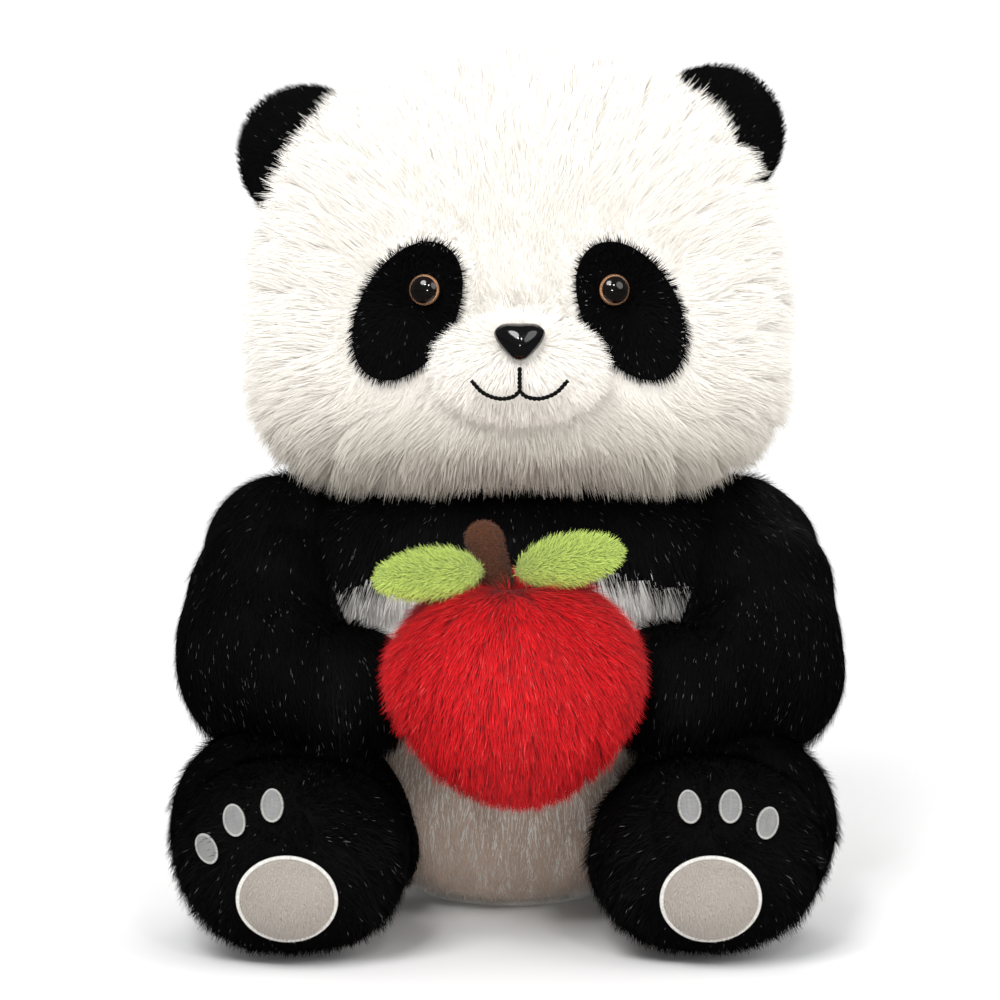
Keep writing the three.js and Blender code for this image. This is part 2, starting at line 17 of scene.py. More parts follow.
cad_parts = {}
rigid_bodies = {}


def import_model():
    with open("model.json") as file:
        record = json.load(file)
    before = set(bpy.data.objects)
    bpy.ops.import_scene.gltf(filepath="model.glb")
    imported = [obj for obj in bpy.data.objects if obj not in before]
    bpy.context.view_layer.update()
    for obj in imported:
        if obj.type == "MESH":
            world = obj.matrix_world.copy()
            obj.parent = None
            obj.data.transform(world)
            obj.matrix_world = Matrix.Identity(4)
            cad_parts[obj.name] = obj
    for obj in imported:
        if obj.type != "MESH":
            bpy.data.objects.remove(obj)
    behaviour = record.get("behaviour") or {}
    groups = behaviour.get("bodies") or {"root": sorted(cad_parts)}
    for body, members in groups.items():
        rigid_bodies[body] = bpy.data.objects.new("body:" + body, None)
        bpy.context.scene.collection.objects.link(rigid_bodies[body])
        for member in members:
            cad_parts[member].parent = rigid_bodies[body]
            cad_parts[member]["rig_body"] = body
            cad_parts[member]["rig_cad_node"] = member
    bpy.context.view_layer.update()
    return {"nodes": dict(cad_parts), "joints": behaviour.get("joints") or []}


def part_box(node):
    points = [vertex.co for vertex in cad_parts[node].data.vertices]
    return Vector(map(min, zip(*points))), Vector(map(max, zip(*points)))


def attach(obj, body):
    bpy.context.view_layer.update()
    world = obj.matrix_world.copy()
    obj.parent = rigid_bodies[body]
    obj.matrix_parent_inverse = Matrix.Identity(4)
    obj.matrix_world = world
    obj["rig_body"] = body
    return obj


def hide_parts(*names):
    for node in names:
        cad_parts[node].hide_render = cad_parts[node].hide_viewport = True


bl_info = {
    "name": "Plush panda with apple",
    "version": (1, 0, 0),
    "blender": (4, 5, 0),
    "location": "View3D > Sidebar > Panda",
    "description": "Makes the pile, stuffing, eyes, pads and threads of a seated plush panda",
    "category": "Add Mesh",
}

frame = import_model()
JOINT_AT = {joint["name"]: joint for joint in frame["joints"]}

SIDES = (("left", 1), ("right", -1))
FLOOR_GAP = 0.0015  # the backing of the feet and the seat lies this far above the floor
TURN = 2 * math.pi


# ---- places from the frame


def span(*nodes):
    """The lowest and highest corners of some CAD nodes together."""
    corners = [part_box(node) for node in nodes]
    low = np.min([list(low) for low, _ in corners], axis=0)
    high = np.max([list(high) for _, high in corners], axis=0)
    return low, high


def joint_place(name):
    return np.array(JOINT_AT[name]["pos_m"], float)


# ---- stuffed shapes


class Pillow:
    """An ellipse in plan whose height follows a power curve, so it fills out its shoulders."""

    def __init__(self, middle, side, front, back, up, down, top=2.0, base=2.0):
        self.middle = np.array(middle, float)
        self.side, self.front, self.back = side, front, back
        self.up, self.down, self.top, self.base = up, down, top, base

    def inset(self, by):
        sizes = (self.side, self.front, self.back, self.up, self.down)
        return Pillow(self.middle, *(size - by for size in sizes), self.top, self.base)

    def fullness(self, points):
        """Below 1 inside the shape, 1 on it; it grows in step with distance."""
        q = points - self.middle
        depth = np.where(q[:, 1] < 0, self.front, self.back)
        plan = np.hypot(q[:, 0] / self.side, q[:, 1] / depth)
        rise = np.abs(q[:, 2]) / np.where(q[:, 2] < 0, self.down, self.up)
        power = np.where(q[:, 2] < 0, self.base, self.top)
        return (plan**power + rise**power) ** (1 / power)

    def push_out(self, points):
        """Points inside the shape move straight out to its surface."""
        full = np.maximum(self.fullness(points), 1e-6)
        moved = self.middle + (points - self.middle) / full[:, None]
        return np.where((full < 1)[:, None], moved, points)

    def front_at(self, x, z):
        """The y of the front surface at (x, z)."""
        q = np.array([x - self.middle[0], z - self.middle[2]])
        height = self.down if q[1] < 0 else self.up
        power = self.base if q[1] < 0 else self.top
        spread = max(0.0, 1 - min(1.0, abs(q[1]) / height) ** power) ** (1 / power)
        depth = math.sqrt(max(0.0, spread**2 - (q[0] / self.side) ** 2))
        return self.middle[1] - self.front * depth

    def surface(self, rings=44, segments=72):
        """Points and faces of the closed surface, with evenly spaced rings."""
        rows = []
        for sign, height, power in ((-1, self.down, self.base), (1, self.up, self.top)):
            t = np.linspace(0, math.pi / 2, 400)
            spread = np.cos(t) ** (2 / power)
            rise = np.sin(t) ** (2 / power) * height
            steps = np.hypot(np.diff(spread) * self.side, np.diff(rise))
            length = np.concatenate([[0], np.cumsum(steps)])
            stops = np.linspace(0, length[-1], rings // 2 + 1)
            spreads, rises = np.interp(stops, length, spread), np.interp(stops, length, rise)
            half = list(zip(spreads, sign * rises))
            rows += half[::-1][1:-1] if sign < 0 else half[:-1]
        points = [self.middle - (0, 0, self.down)]
        for spread, rise in rows:
            for k in range(segments):
                turn = TURN * k / segments
                depth = self.front if math.sin(turn) < 0 else self.back
                across, deep = math.cos(turn) * spread * self.side, math.sin(turn) * spread * depth
                points.append(self.middle + (across, deep, rise))
        points.append(self.middle + (0, 0, self.up))
        return np.array(points), ring_faces(len(rows), segments)


def ring_faces(rows, segments):
    """Faces of a closed surface: a pole, rings of points, and a pole."""
    faces = [(0, 1 + (k + 1) % segments, 1 + k) for k in range(segments)]
    for r in range(rows - 1):
        a, b = 1 + r * segments, 1 + (r + 1) * segments
        for k in range(segments):
            n = (k + 1) % segments
            faces.append((a + k, a + n, b + n, b + k))
    last, pole = 1 + (rows - 1) * segments, 1 + rows * segments
    faces += [(last + k, last + (k + 1) % segments, pole) for k in range(segments)]
    return faces


def smooth_path(knots, count):
    """A centripetal Catmull-Rom curve through the knots, as evenly stepped points."""
    knots = [np.array(k, float) for k in knots]
    ends = [2 * knots[0] - knots[1]] + knots + [2 * knots[-1] - knots[-2]]
    found = []
    for step in np.linspace(0, len(knots) - 1, count):
        piece = min(int(step), len(knots) - 2)
        t = step - piece
        p0, p1, p2, p3 = ends[piece : piece + 4]
        d0, d1, d2 = (math.sqrt(np.linalg.norm(b - a)) for a, b in ((p0, p1), (p1, p2), (p2, p3)))
        m1 = ((p1 - p0) / d0 - (p2 - p0) / (d0 + d1) + (p2 - p1) / d1) * d1
        m2 = ((p2 - p1) / d1 - (p3 - p1) / (d1 + d2) + (p3 - p2) / d2) * d1
        c2 = -3 * p1 + 3 * p2 - 2 * m1 - m2
        c3 = 2 * p1 - 2 * p2 + m1 + m2
        found.append(p1 + m1 * t + c2 * t * t + c3 * t**3)
    return np.array(found)


def tangents(path):
    steps = np.gradient(path, axis=0)
    return steps / np.linalg.norm(steps, axis=1)[:, None]


class Limb:
    """A stuffed sleeve along a path, with a radius for each of the path's knots."""

    def __init__(self, knots, radii, count=40):
        self.path = smooth_path(knots, count)
        self.along = tangents(self.path)
        stops = np.linspace(0, len(radii) - 1, count)
        self.radii = np.interp(stops, range(len(radii)), radii)

    def nearest(self, points):
        """For each point: how far it is outside the sleeve, and the sleeve's direction there."""
        gap = np.linalg.norm(points[:, None] - self.path[None], axis=2) - self.radii[None]
        best = gap.argmin(axis=1)
        return gap[np.arange(len(points)), best], self.along[best]

    def surface(self, inset, segments=40, cap=7):
        radii = self.radii - inset
        angles = [math.pi / 2 * k / (cap + 0.5) for k in range(1, cap + 1)]
        last = len(self.path) - 1
        rows = [(0, -math.sin(angle), math.cos(angle)) for angle in reversed(angles)]
        rows += [(k, 0, 1) for k in range(last + 1)]
        rows += [(last, math.sin(angle), math.cos(angle)) for angle in angles]
        points = [self.path[0] - self.along[0] * radii[0]]
        for at, past, reach in rows:
            side = np.cross(self.along[at], (0, 0, 1))
            side /= np.linalg.norm(side)
            up = np.cross(side, self.along[at])
            centre = self.path[at] + self.along[at] * past * radii[at]
            for k in range(segments):
                turn = TURN * k / segments
                way = side * math.cos(turn) + up * math.sin(turn)
                points.append(centre + way * radii[at] * reach)
        points.append(self.path[-1] + self.along[-1] * radii[-1])
        return np.array(points), ring_faces(len(rows), segments)


# ---- the panda's shapes

PILE = 0.0052  # how deep the long pile of the head stands over its backing
BLACK_DEPTH = 0.0024  # the black pile lies flatter
SHORT_PILE = 0.0042  # and so does the pile of the muzzle
FLOOR_TOUCH = 0.0003  # no strand goes below this
SKIN_VOXEL, SKIN_ROUNDS = 0.0032, 10  # how finely joined forms are skinned, and smoothed
EAR_RADIUS = 0.029
SHAPE = {}


def shapes():
    """The outside of every stuffed part, pile included, placed from the CAD nodes."""
    found = {}

    def middle_of(*nodes):
        low, high = span(*nodes)
        return low, high, (low + high) / 2

    low, high, middle = middle_of("head_front_cover", "head_back_cover")
    middle[1:] = 0, high[2] - 0.118
    half = (high[0] - low[0]) / 2
    found["head"] = Pillow(middle, half, -low[1], high[1], 0.118, 0.055, top=2.5, base=4)
    low, high, middle = middle_of("muzzle_cover")
    middle[1] = low[1] + 0.0245
    found["muzzle"] = Pillow(middle, 0.035, 0.025, 0.025, 0.023, 0.023, 2.2, 2.2)
    found["torso"] = Pillow((0, 0, 0.062), 0.076, 0.066, 0.074, 0.098, 0.066, 3, 2.6)
    low, high, middle = middle_of("tail_cover")
    middle[1] = high[1] - 0.016
    found["tail"] = Pillow(middle, 0.018, 0.020, 0.016, 0.014, 0.014)
    low, high, middle = middle_of("apple_cover")
    middle[1:] = low[1] + 0.043, low[2] + 0.041
    found["apple"] = Pillow(middle, 0.050, 0.043, 0.043, 0.041, 0.041, 2.3, 2.1)
    for name, side in SIDES:
        low, high, middle = middle_of(f"{name}_ear_cover")
        x = (high[0] if side > 0 else low[0]) - side * EAR_RADIUS
        found[f"{name}_ear"] = np.array((x, middle[1], high[2] - EAR_RADIUS))
        shoulder = joint_place(f"{name}_shoulder_lift")
        shoulder[0] = abs(shoulder[0]) * side
        elbow = shoulder + (0.012 * side, -0.038, -0.026)
        paw = shoulder + (-0.020 * side, -0.079, -0.042)
        found[f"{name}_arm"] = Limb([shoulder, elbow, paw], [0.035, 0.0345, 0.024])
        low, high, middle = middle_of(f"{name}_leg_cover")
        x = (high[0] if side > 0 else low[0]) - side * 0.045
        foot = np.array((x, low[1] + 0.0365, 0.0375))
        found[f"{name}_foot"] = Pillow(foot, 0.045, 0.037, 0.033, 0.0375, 0.0375, 2.2, 2.2)
        hip = joint_place(f"{name}_hip_splay")
        ankle = np.array((x, foot[1] + 0.015, hip[2]))
        knee = (hip + np.array((x, foot[1], hip[2]))) / 2
        found[f"{name}_leg"] = Limb([hip, knee, ankle], [0.028, 0.026, 0.027])
    return found


# ---- meshes


def mesh_object(name, points, faces, material=None):
    mesh = bpy.data.meshes.new(name)
    mesh.from_pydata([tuple(p) for p in points], [], faces)
    mesh.validate()
    thing = bpy.data.objects.new(name, mesh)
    bpy.context.scene.collection.objects.link(thing)
    if material:
        mesh.materials.append(material)
    for polygon in mesh.polygons:
        polygon.use_smooth = True
    return thing


def settled(thing):
    """Turns what the modifiers make into the thing's own plain mesh."""
    graph = bpy.context.evaluated_depsgraph_get()
    mesh = bpy.data.meshes.new_from_object(
        thing.evaluated_get(graph), preserve_all_data_layers=True, depsgraph=graph
    )
    thing.modifiers.clear()
    old, thing.data = thing.data, mesh
    mesh.name = thing.name
    bpy.data.meshes.remove(old)
    return thing


def coordinates(thing):
    found = np.empty(len(thing.data.vertices) * 3)
    thing.data.vertices.foreach_get("co", found)
    return found.reshape(-1, 3)


def move_points(thing, points):
    thing.data.vertices.foreach_set("co", np.asarray(points, float).ravel())
    thing.data.update()


def vertex_normals(thing):
    found = np.empty(len(thing.data.vertices) * 3)
    thing.data.vertices.foreach_get("normal", found)
    return found.reshape(-1, 3)


def skin(thing):
    """Where the points of a thing lie, and which way each looks."""
    return coordinates(thing), vertex_normals(thing)


def outward(thing):
    """Merges doubles and points every face outwards."""
    work = bmesh.new()
    work.from_mesh(thing.data)
    bmesh.ops.remove_doubles(work, verts=work.verts, dist=1e-5)
    bmesh.ops.recalc_face_normals(work, faces=work.faces)
    work.to_mesh(thing.data)
    work.free()
    return thing


def remeshed(thing, voxel, rounds=6):
    """One even skin over joined shapes, smoothed."""
    remesh = thing.modifiers.new("Skin", "REMESH")
    remesh.mode = "VOXEL"
    remesh.voxel_size = voxel
    remesh.use_smooth_shade = True
    smooth = thing.modifiers.new("Smooth", "SMOOTH")
    smooth.factor = 0.5
    smooth.iterations = rounds
    return settled(thing)


def lumpy(thing, amount, size, seed):
    """Presses soft lumps of stuffing out of a skin."""
    points, normals = skin(thing)
    shift = [noise.noise(Vector(p / size) + Vector((seed, 0, 0))) for p in points]
    move_points(thing, points + normals * (np.array(shift) * amount)[:, None])
    return thing


def drop_faces(thing, unwanted):
    """Removes the faces whose middles are marked."""
    work = bmesh.new()
    work.from_mesh(thing.data)
    middles = np.array([tuple(f.calc_center_median()) for f in work.faces])
    marks = unwanted(middles)
    chosen = [f for f, out in zip(work.faces, marks) if out]
    bmesh.ops.delete(work, geom=chosen, context="FACES")
    work.to_mesh(thing.data)
    work.free()
    return thing


def copy_of(thing, name):
    twin = thing.copy()
    twin.data = thing.data.copy()
    twin.name = name
    bpy.context.scene.collection.objects.link(twin)
    return twin


def give_thickness(thing, thickness, offset=-1):
    wall = thing.modifiers.new("Cloth", "SOLIDIFY")
    wall.thickness = thickness
    wall.offset = offset
    return settled(thing)


def set_field(thing, name, values, kind="FLOAT"):
    layers = thing.data.attributes
    layer = layers[name] if name in layers else layers.new(name, kind, "POINT")
    key = "vector" if kind == "FLOAT_VECTOR" else "value"
    layer.data.foreach_set(key, np.asarray(values, float).ravel())


def drop_fields(thing, *names):
    layers = thing.data.attributes
    for name in names:
        if name in layers:
            layers.remove(layers[name])


def wear(thing, finish_name):
    """Gives a thing one finish."""
    thing.data.materials.clear()
    thing.data.materials.append(finish(finish_name))
    return thing


def fade(values, low, high):
    """0 below low, 1 above high, smooth between them."""
    t = np.clip((np.asarray(values, float) - low) / (high - low), 0, 1)
    return t * t * (3 - 2 * t)


# ---- node building


def add(tree, kind, inputs=(), **settings):
    """Adds a node, sets it up, and links or fills its inputs."""
    made = tree.nodes.new(kind)
    for key, value in settings.items():
        setattr(made, key, value)
    for key, value in dict(inputs).items():
        if isinstance(value, bpy.types.NodeSocket):
            tree.links.new(value, made.inputs[key])
        else:
            made.inputs[key].default_value = value
    return made


def math_node(tree, operation, a, b=0.0):
    return add(tree, "ShaderNodeMath", {0: a, 1: b}, operation=operation).outputs[0]


def times(tree, a, b):
    return math_node(tree, "MULTIPLY", a, b)


def plus(tree, a, b):
    return math_node(tree, "ADD", a, b)


def minus(tree, a, b):
    return math_node(tree, "SUBTRACT", a, b)


def vector_node(tree, operation, a, b=None, scale=None):
    inputs = {key: value for key, value in ((1, b), ("Scale", scale)) if value is not None}
    return add(tree, "ShaderNodeVectorMath", {0: a, **inputs}, operation=operation).outputs[0]


SOCKETS = {float: "NodeSocketFloat", int: "NodeSocketInt", tuple: "NodeSocketColor"}


def new_tree(name, kind, inputs, outputs):
    """A tree whose inputs are given by their defaults, or by a socket's kind where none fits."""
    tree = bpy.data.node_groups.new(name, kind)
    for label, default in inputs.items():
        socket = SOCKETS.get(type(default), default)
        made = tree.interface.new_socket(label, in_out="INPUT", socket_type=socket)
        if type(default) in SOCKETS:
            made.default_value = default
    for label, socket in outputs.items():
        tree.interface.new_socket(label, in_out="OUTPUT", socket_type=socket)
    return tree, tree.nodes.new("NodeGroupInput").outputs, tree.nodes.new("NodeGroupOutput").inputs


def run_tree(thing, tree, **values):
    """Runs a Geometry Nodes tree on a thing and keeps the result as its mesh."""
    modifier = thing.modifiers.new(tree.name, "NODES")
    modifier.node_group = tree
    for item in tree.interface.items_tree:
        label = item.name.lower().replace(" ", "_")
        if item.in_out == "INPUT" and label in values:
            modifier[item.identifier] = values.pop(label)
    if values:
        raise ValueError(f"{tree.name} has no inputs {sorted(values)}")
    return settled(thing)


def attribute_field(tree, name, kind="FLOAT"):
    return add(tree, "GeometryNodeInputNamedAttribute", {"Name": name}, data_type=kind).outputs[0]


def random_field(tree, low, high, seed):
    inputs = {2: low, 3: high, "Seed": seed}
    return add(tree, "FunctionNodeRandomValue", inputs, data_type="FLOAT").outputs[1]


def stored(tree, geometry, name, value, kind="FLOAT"):
    """Keeps a value on each point of a geometry under a name."""
    inputs = {"Geometry": geometry, "Name": name, "Value": value}
    settings = {"data_type": kind, "domain": "POINT"}
    return add(tree, "GeometryNodeStoreNamedAttribute", inputs, **settings).outputs[0]


def aligned(tree, inputs, **axes):
    return add(tree, "FunctionNodeAlignRotationToVector", inputs, **axes).outputs[0]


def position_field(tree):
    return add(tree, "GeometryNodeInputPosition").outputs[0]


def each_made_real(tree, points, shape, rotation, scale):
    """Puts a shape on every point, as real mesh."""
    inputs = {"Points": points, "Instance": shape, "Rotation": rotation, "Scale": scale}
    placed = add(tree, "GeometryNodeInstanceOnPoints", inputs)
    return add(tree, "GeometryNodeRealizeInstances", {"Geometry": placed.outputs[0]}).outputs[0]


def finished(tree, geometry, material, result):
    inputs = {"Geometry": geometry, "Material": material}
    painted = add(tree, "GeometryNodeSetMaterial", inputs)
    tree.links.new(painted.outputs[0], result["Geometry"])
    return tree


def pile_tree():
    """Strands of pile on a backing: combed, gathered into locks, and made real."""
    tree, given, result = new_tree(
        "Pile",
        "GeometryNodeTree",
        {
            "Geometry": "NodeSocketGeometry",
            "Density": 600000.0,
            "Length": 0.011,
            "Width": 0.0005,
            "Stand": 0.7,
            "Curl": 0.25,
            "Lock Size": 0.009,
            "Lock Pull": 0.5,
            "Stray": 0.25,
            "Rows": 3,
            "Softness": 0.85,
            "Seed": 1,
            "Material": "NodeSocketMaterial",
        },
        {"Geometry": "NodeSocketGeometry"},
    )
    density = times(tree, given["Density"], attribute_field(tree, "pile"))
    bed = {"Mesh": given["Geometry"], "Density": density, "Seed": given["Seed"]}
    scatter = add(tree, "GeometryNodeDistributePointsOnFaces", bed)
    skin_normal = scatter.outputs["Normal"]

    # the way each strand goes: it stands, lies with the comb, leans into its lock, and strays
    position = position_field(tree)
    lock_scale = math_node(tree, "DIVIDE", 1.0, given["Lock Size"])
    locks = add(tree, "ShaderNodeTexVoronoi", {"Vector": position, "Scale": lock_scale})
    toward = vector_node(tree, "SUBTRACT", locks.outputs["Position"], position)
    pull = math_node(tree, "DIVIDE", given["Lock Pull"], given["Lock Size"])
    gathered = vector_node(tree, "SCALE", toward, scale=pull)
    anywhere = {0: (-1, -1, -1), 1: (1, 1, 1), "Seed": plus(tree, given["Seed"], 3)}
    wander = add(tree, "FunctionNodeRandomValue", anywhere, data_type="FLOAT_VECTOR").outputs[0]
    stray = vector_node(tree, "SCALE", wander, scale=given["Stray"])
    standing = vector_node(tree, "SCALE", skin_normal, scale=given["Stand"])
    comb = attribute_field(tree, "comb", "FLOAT_VECTOR")
    combed = vector_node(tree, "ADD", standing, comb)
    aim = vector_node(tree, "ADD", vector_node(tree, "ADD", combed, gathered), stray)

    shaded = stored(tree, scatter.outputs["Points"], "shade", random_field(tree, 0.0, 1.0, 11))
    kept = stored(tree, shaded, "out", skin_normal, "FLOAT_VECTOR")
    upright = aligned(tree, {"Vector": aim}, axis="Z")
    turned = aligned(
        tree, {"Rotation": upright, "Vector": skin_normal}, axis="Y", pivot_axis="Z"
    )
    reach = times(tree, given["Length"], attribute_field(tree, "reach"))
    length = times(tree, reach, random_field(tree, 0.62, 1.12, 21))
    width = times(tree, given["Width"], random_field(tree, 0.7, 1.3, 22))
    bend = times(tree, length, random_field(tree, -0.3, 1.6, 23))
    size = add(tree, "ShaderNodeCombineXYZ", {0: width, 1: bend, 2: length}).outputs[0]

    # one strand, a tapered strip that droops towards its tip
    grid = {"Size X": 1.0, "Size Y": 1.0, "Vertices X": 2, "Vertices Y": given["Rows"]}
    strand = add(tree, "GeometryNodeMeshGrid", grid)
    flat = add(tree, "ShaderNodeSeparateXYZ", {0: position_field(tree)})
    rise = plus(tree, flat.outputs[1], 0.5)
    marked = stored(tree, strand.outputs["Mesh"], "rise", rise)
    narrowing = times(tree, math_node(tree, "POWER", rise, 1.6), 0.82)
    taper = minus(tree, 1.0, narrowing)
    across = times(tree, times(tree, flat.outputs[0], -1.0), taper)
    curl = times(tree, given["Curl"], -1.0)
    droop = times(tree, math_node(tree, "POWER", rise, 2.0), curl)
    bent = add(tree, "ShaderNodeCombineXYZ", {0: across, 1: droop, 2: rise}).outputs[0]
    shape = {"Geometry": marked, "Position": bent}
    shaped = add(tree, "GeometryNodeSetPosition", shape).outputs[0]

    made = each_made_real(tree, kept, shaped, turned, size)
    floor = (-9, -9, FLOOR_TOUCH)
    resting = vector_node(tree, "MAXIMUM", position_field(tree), floor)
    real = add(tree, "GeometryNodeSetPosition", {"Geometry": made, "Position": resting})
    own = add(tree, "GeometryNodeInputNormal").outputs[0]
    bed_normal = attribute_field(tree, "out", "FLOAT_VECTOR")
    both = {0: given["Softness"], 4: own, 5: bed_normal}
    soft = add(tree, "ShaderNodeMix", both, data_type="VECTOR").outputs[1]
    lit = add(
        tree, "GeometryNodeSetMeshNormal", {"Mesh": real.outputs[0]}, mode="FREE", domain="POINT"
    )
    tree.links.new(vector_node(tree, "NORMALIZE", soft), lit.inputs["Custom Normal"])
    return finished(tree, lit.outputs[0], given["Material"], result)


def stitch_tree():
    """Satin stitches: a short fat thread on each point, along its run, facing out."""
    tree, given, result = new_tree(
        "Stitches",
        "GeometryNodeTree",
        {
            "Geometry": "NodeSocketGeometry",
            "Thread": 0.0006,
            "Height": 0.8,
            "Material": "NodeSocketMaterial",
        },
        {"Geometry": "NodeSocketGeometry"},
    )
    points = add(tree, "GeometryNodeMeshToPoints", {"Mesh": given["Geometry"]}).outputs[0]
    shaded = stored(tree, points, "shade", random_field(tree, 0.0, 1.0, 5))
    bead = {"Segments": 8, "Rings": 5, "Radius": 0.5}
    thread = add(tree, "GeometryNodeMeshUVSphere", bead).outputs["Mesh"]
    run, out = (attribute_field(tree, name, "FLOAT_VECTOR") for name in ("run", "out"))
    along = aligned(tree, {"Vector": run}, axis="X")
    facing = aligned(tree, {"Rotation": along, "Vector": out}, axis="Z", pivot_axis="X")
    tall = times(tree, given["Thread"], given["Height"])
    sizes = {0: attribute_field(tree, "span"), 1: given["Thread"], 2: tall}
    size = add(tree, "ShaderNodeCombineXYZ", sizes).outputs[0]
    real = each_made_real(tree, shaded, thread, facing, size)
    smooth = add(tree, "GeometryNodeSetShadeSmooth", {"Geometry": real}).outputs[0]
    return finished(tree, smooth, given["Material"], result)


TREES = {}


def tree_for(name, build):
    if name not in TREES:
        TREES[name] = build()
    return TREES[name]


# ---- materials


def colour_mix(tree, factor, a, b):
    return add(tree, "ShaderNodeMix", {0: factor, 6: a, 7: b}, data_type="RGBA").outputs[2]


def ramp(tree, value, low, high):
    inputs = {0: value, 1: low, 2: high}
    return add(tree, "ShaderNodeMapRange", inputs, interpolation_type="SMOOTHSTEP").outputs[0]


def shader_attribute(tree, name):
    return add(tree, "ShaderNodeAttribute", attribute_name=name).outputs["Fac"]


def object_noise(tree, scale, detail=2.0):
    """Noise that stays put on a piece."""
    place = add(tree, "ShaderNodeTexCoord").outputs["Object"]
    inputs = {"Vector": place, "Scale": scale, "Detail": detail}
    return add(tree, "ShaderNodeTexNoise", inputs).outputs[0]


def feed(tree, sockets, **sources):
    """Links each source to the socket of its name."""
    for name, source in sources.items():
        tree.links.new(source, sockets[name.replace("_", " ")])


def pile_colour_group():
    """Strand colour from root to tip, with uneven dye, glinting strands, the root painted darker as
    shade deep in the pile, and the Tint colour mixed in as painted shade on lower parts and as a
    plain yellower hue on the leaves.
    """
    tree, given, result = new_tree(
        "Pile colour",
        "ShaderNodeTree",
        {
            "Root": (0.5, 0.5, 0.5, 1),
            "Body": (0.8, 0.8, 0.8, 1),
            "Tip": (0.9, 0.9, 0.9, 1),
            "Tint": (0.8, 0.8, 0.8, 1),
            "Glint": (1, 1, 1, 1),
            "Glint Share": 0.0,
            "Uneven": 0.15,
            "Roughness": 0.6,
        },
        {"Color": "NodeSocketColor", "Roughness": "NodeSocketFloat"},
    )
    rise, shade = shader_attribute(tree, "rise"), shader_attribute(tree, "shade")
    # darker towards the root: painted shade deep in the pile
    low = colour_mix(tree, ramp(tree, rise, 0.0, 0.5), given["Root"], given["Body"])
    full = colour_mix(tree, ramp(tree, rise, 0.45, 1.0), low, given["Tip"])
    # the Tint colour mixed in by its field: painted shade on the lower head, muzzle, belly and
    # apple; a plain yellower hue on the leaves
    with_painted_shade = colour_mix(tree, shader_attribute(tree, "tint"), full, given["Tint"])
    patch = object_noise(tree, 45.0)
    spread = times(tree, minus(tree, shade, 0.5), given["Uneven"])
    cloud = times(tree, minus(tree, patch, 0.5), given["Uneven"])
    value = plus(tree, plus(tree, spread, cloud), 1.0)
    dyed = vector_node(tree, "SCALE", with_painted_shade, scale=value)
    bright = math_node(tree, "GREATER_THAN", shade, minus(tree, 1.0, given["Glint Share"]))
    glint = times(tree, bright, ramp(tree, rise, 0.5, 0.8))
    colour = colour_mix(tree, glint, dyed, given["Glint"])
    rough = minus(tree, given["Roughness"], times(tree, glint, 0.25))
    feed(tree, result, Color=colour, Roughness=rough)
    return tree


def cloth_group():
    """A knitted or felted ground: mottled colour, and height for its bump."""
    tree, given, result = new_tree(
        "Cloth ground",
        "ShaderNodeTree",
        {
            "Light": (0.8, 0.8, 0.8, 1),
            "Dark": (0.6, 0.6, 0.6, 1),
            "Grain": 1800.0,
            "Blotch": 60.0,
        },
        {"Color": "NodeSocketColor", "Height": "NodeSocketFloat"},
    )
    fine = object_noise(tree, given["Grain"], 3.0)
    broad = object_noise(tree, given["Blotch"])
    both = plus(tree, times(tree, fine, 0.65), times(tree, broad, 0.35))
    colour = colour_mix(tree, ramp(tree, both, 0.35, 0.65), given["Dark"], given["Light"])
    feed(tree, result, Color=colour, Height=fine)
    return tree


def material_with(name, colour, **own):
    """A material with a Principled shader whose plain values are set on its own sockets."""
    material = bpy.data.materials.new(name)
    material.use_nodes = True
    tree = material.node_tree
    tree.nodes.clear()
    values = {key.replace("_", " "): value for key, value in own.items()}
    shader = add(tree, "ShaderNodeBsdfPrincipled", {"Base Color": solid(colour), **values})
    ground = tree.nodes.new("ShaderNodeOutputMaterial")
    tree.links.new(shader.outputs[0], ground.inputs[0])
    return material, tree, shader


def group_node(tree, name, build, **values):
    made = tree.nodes.new("ShaderNodeGroup")
    made.node_tree = tree_for(name, build)
    for label, value in values.items():
        made.inputs[label.replace("_", " ")].default_value = value
    return made.outputs


def solid(colour):
    return (*colour, 1.0)


def darker(colour, by):
    return tuple(c * by for c in colour)


def pile_material(name, colour, root=0.6, tip=1.15, tint=(0.7, 0.6, 0.5), uneven=0.15,
                  glint=(1, 1, 1), glint_share=0.0, rough=0.65, sheen=0.25, gloss=0.3):
    material, tree, shader = material_with(
        name, colour, Sheen_Weight=sheen, Sheen_Roughness=0.5, Specular_IOR_Level=gloss
    )
    out = group_node(
        tree,
        "Pile colour",
        pile_colour_group,
        Root=solid(darker(colour, root)),
        Body=solid(colour),
        Tip=solid(tuple(min(1.0, c * tip) for c in colour)),
        Tint=solid(tint),
        Glint=solid(glint),
        Glint_Share=glint_share,
        Uneven=uneven,
        Roughness=rough,
    )
    feed(tree, shader.inputs, Base_Color=out["Color"], Roughness=out["Roughness"])
    return material


def cloth_material(name, colour, dark=0.75, grain=1800.0, blotch=60.0, depth=0.0004, rough=0.8,
                   sheen=0.4, strength=0.5, gloss=0.5):
    material, tree, shader = material_with(
        name, colour, Roughness=rough, Sheen_Weight=sheen, Sheen_Roughness=0.4,
        Specular_IOR_Level=gloss,
    )
    light, shadow = solid(colour), solid(darker(colour, dark))
    out = group_node(
        tree, "Cloth ground", cloth_group, Light=light, Dark=shadow, Grain=grain, Blotch=blotch
    )
    relief = {"Strength": strength, "Distance": depth, "Height": out["Height"]}
    bump = add(tree, "ShaderNodeBump", relief)
    feed(tree, shader.inputs, Base_Color=out["Color"], Normal=bump.outputs[0])
    return material


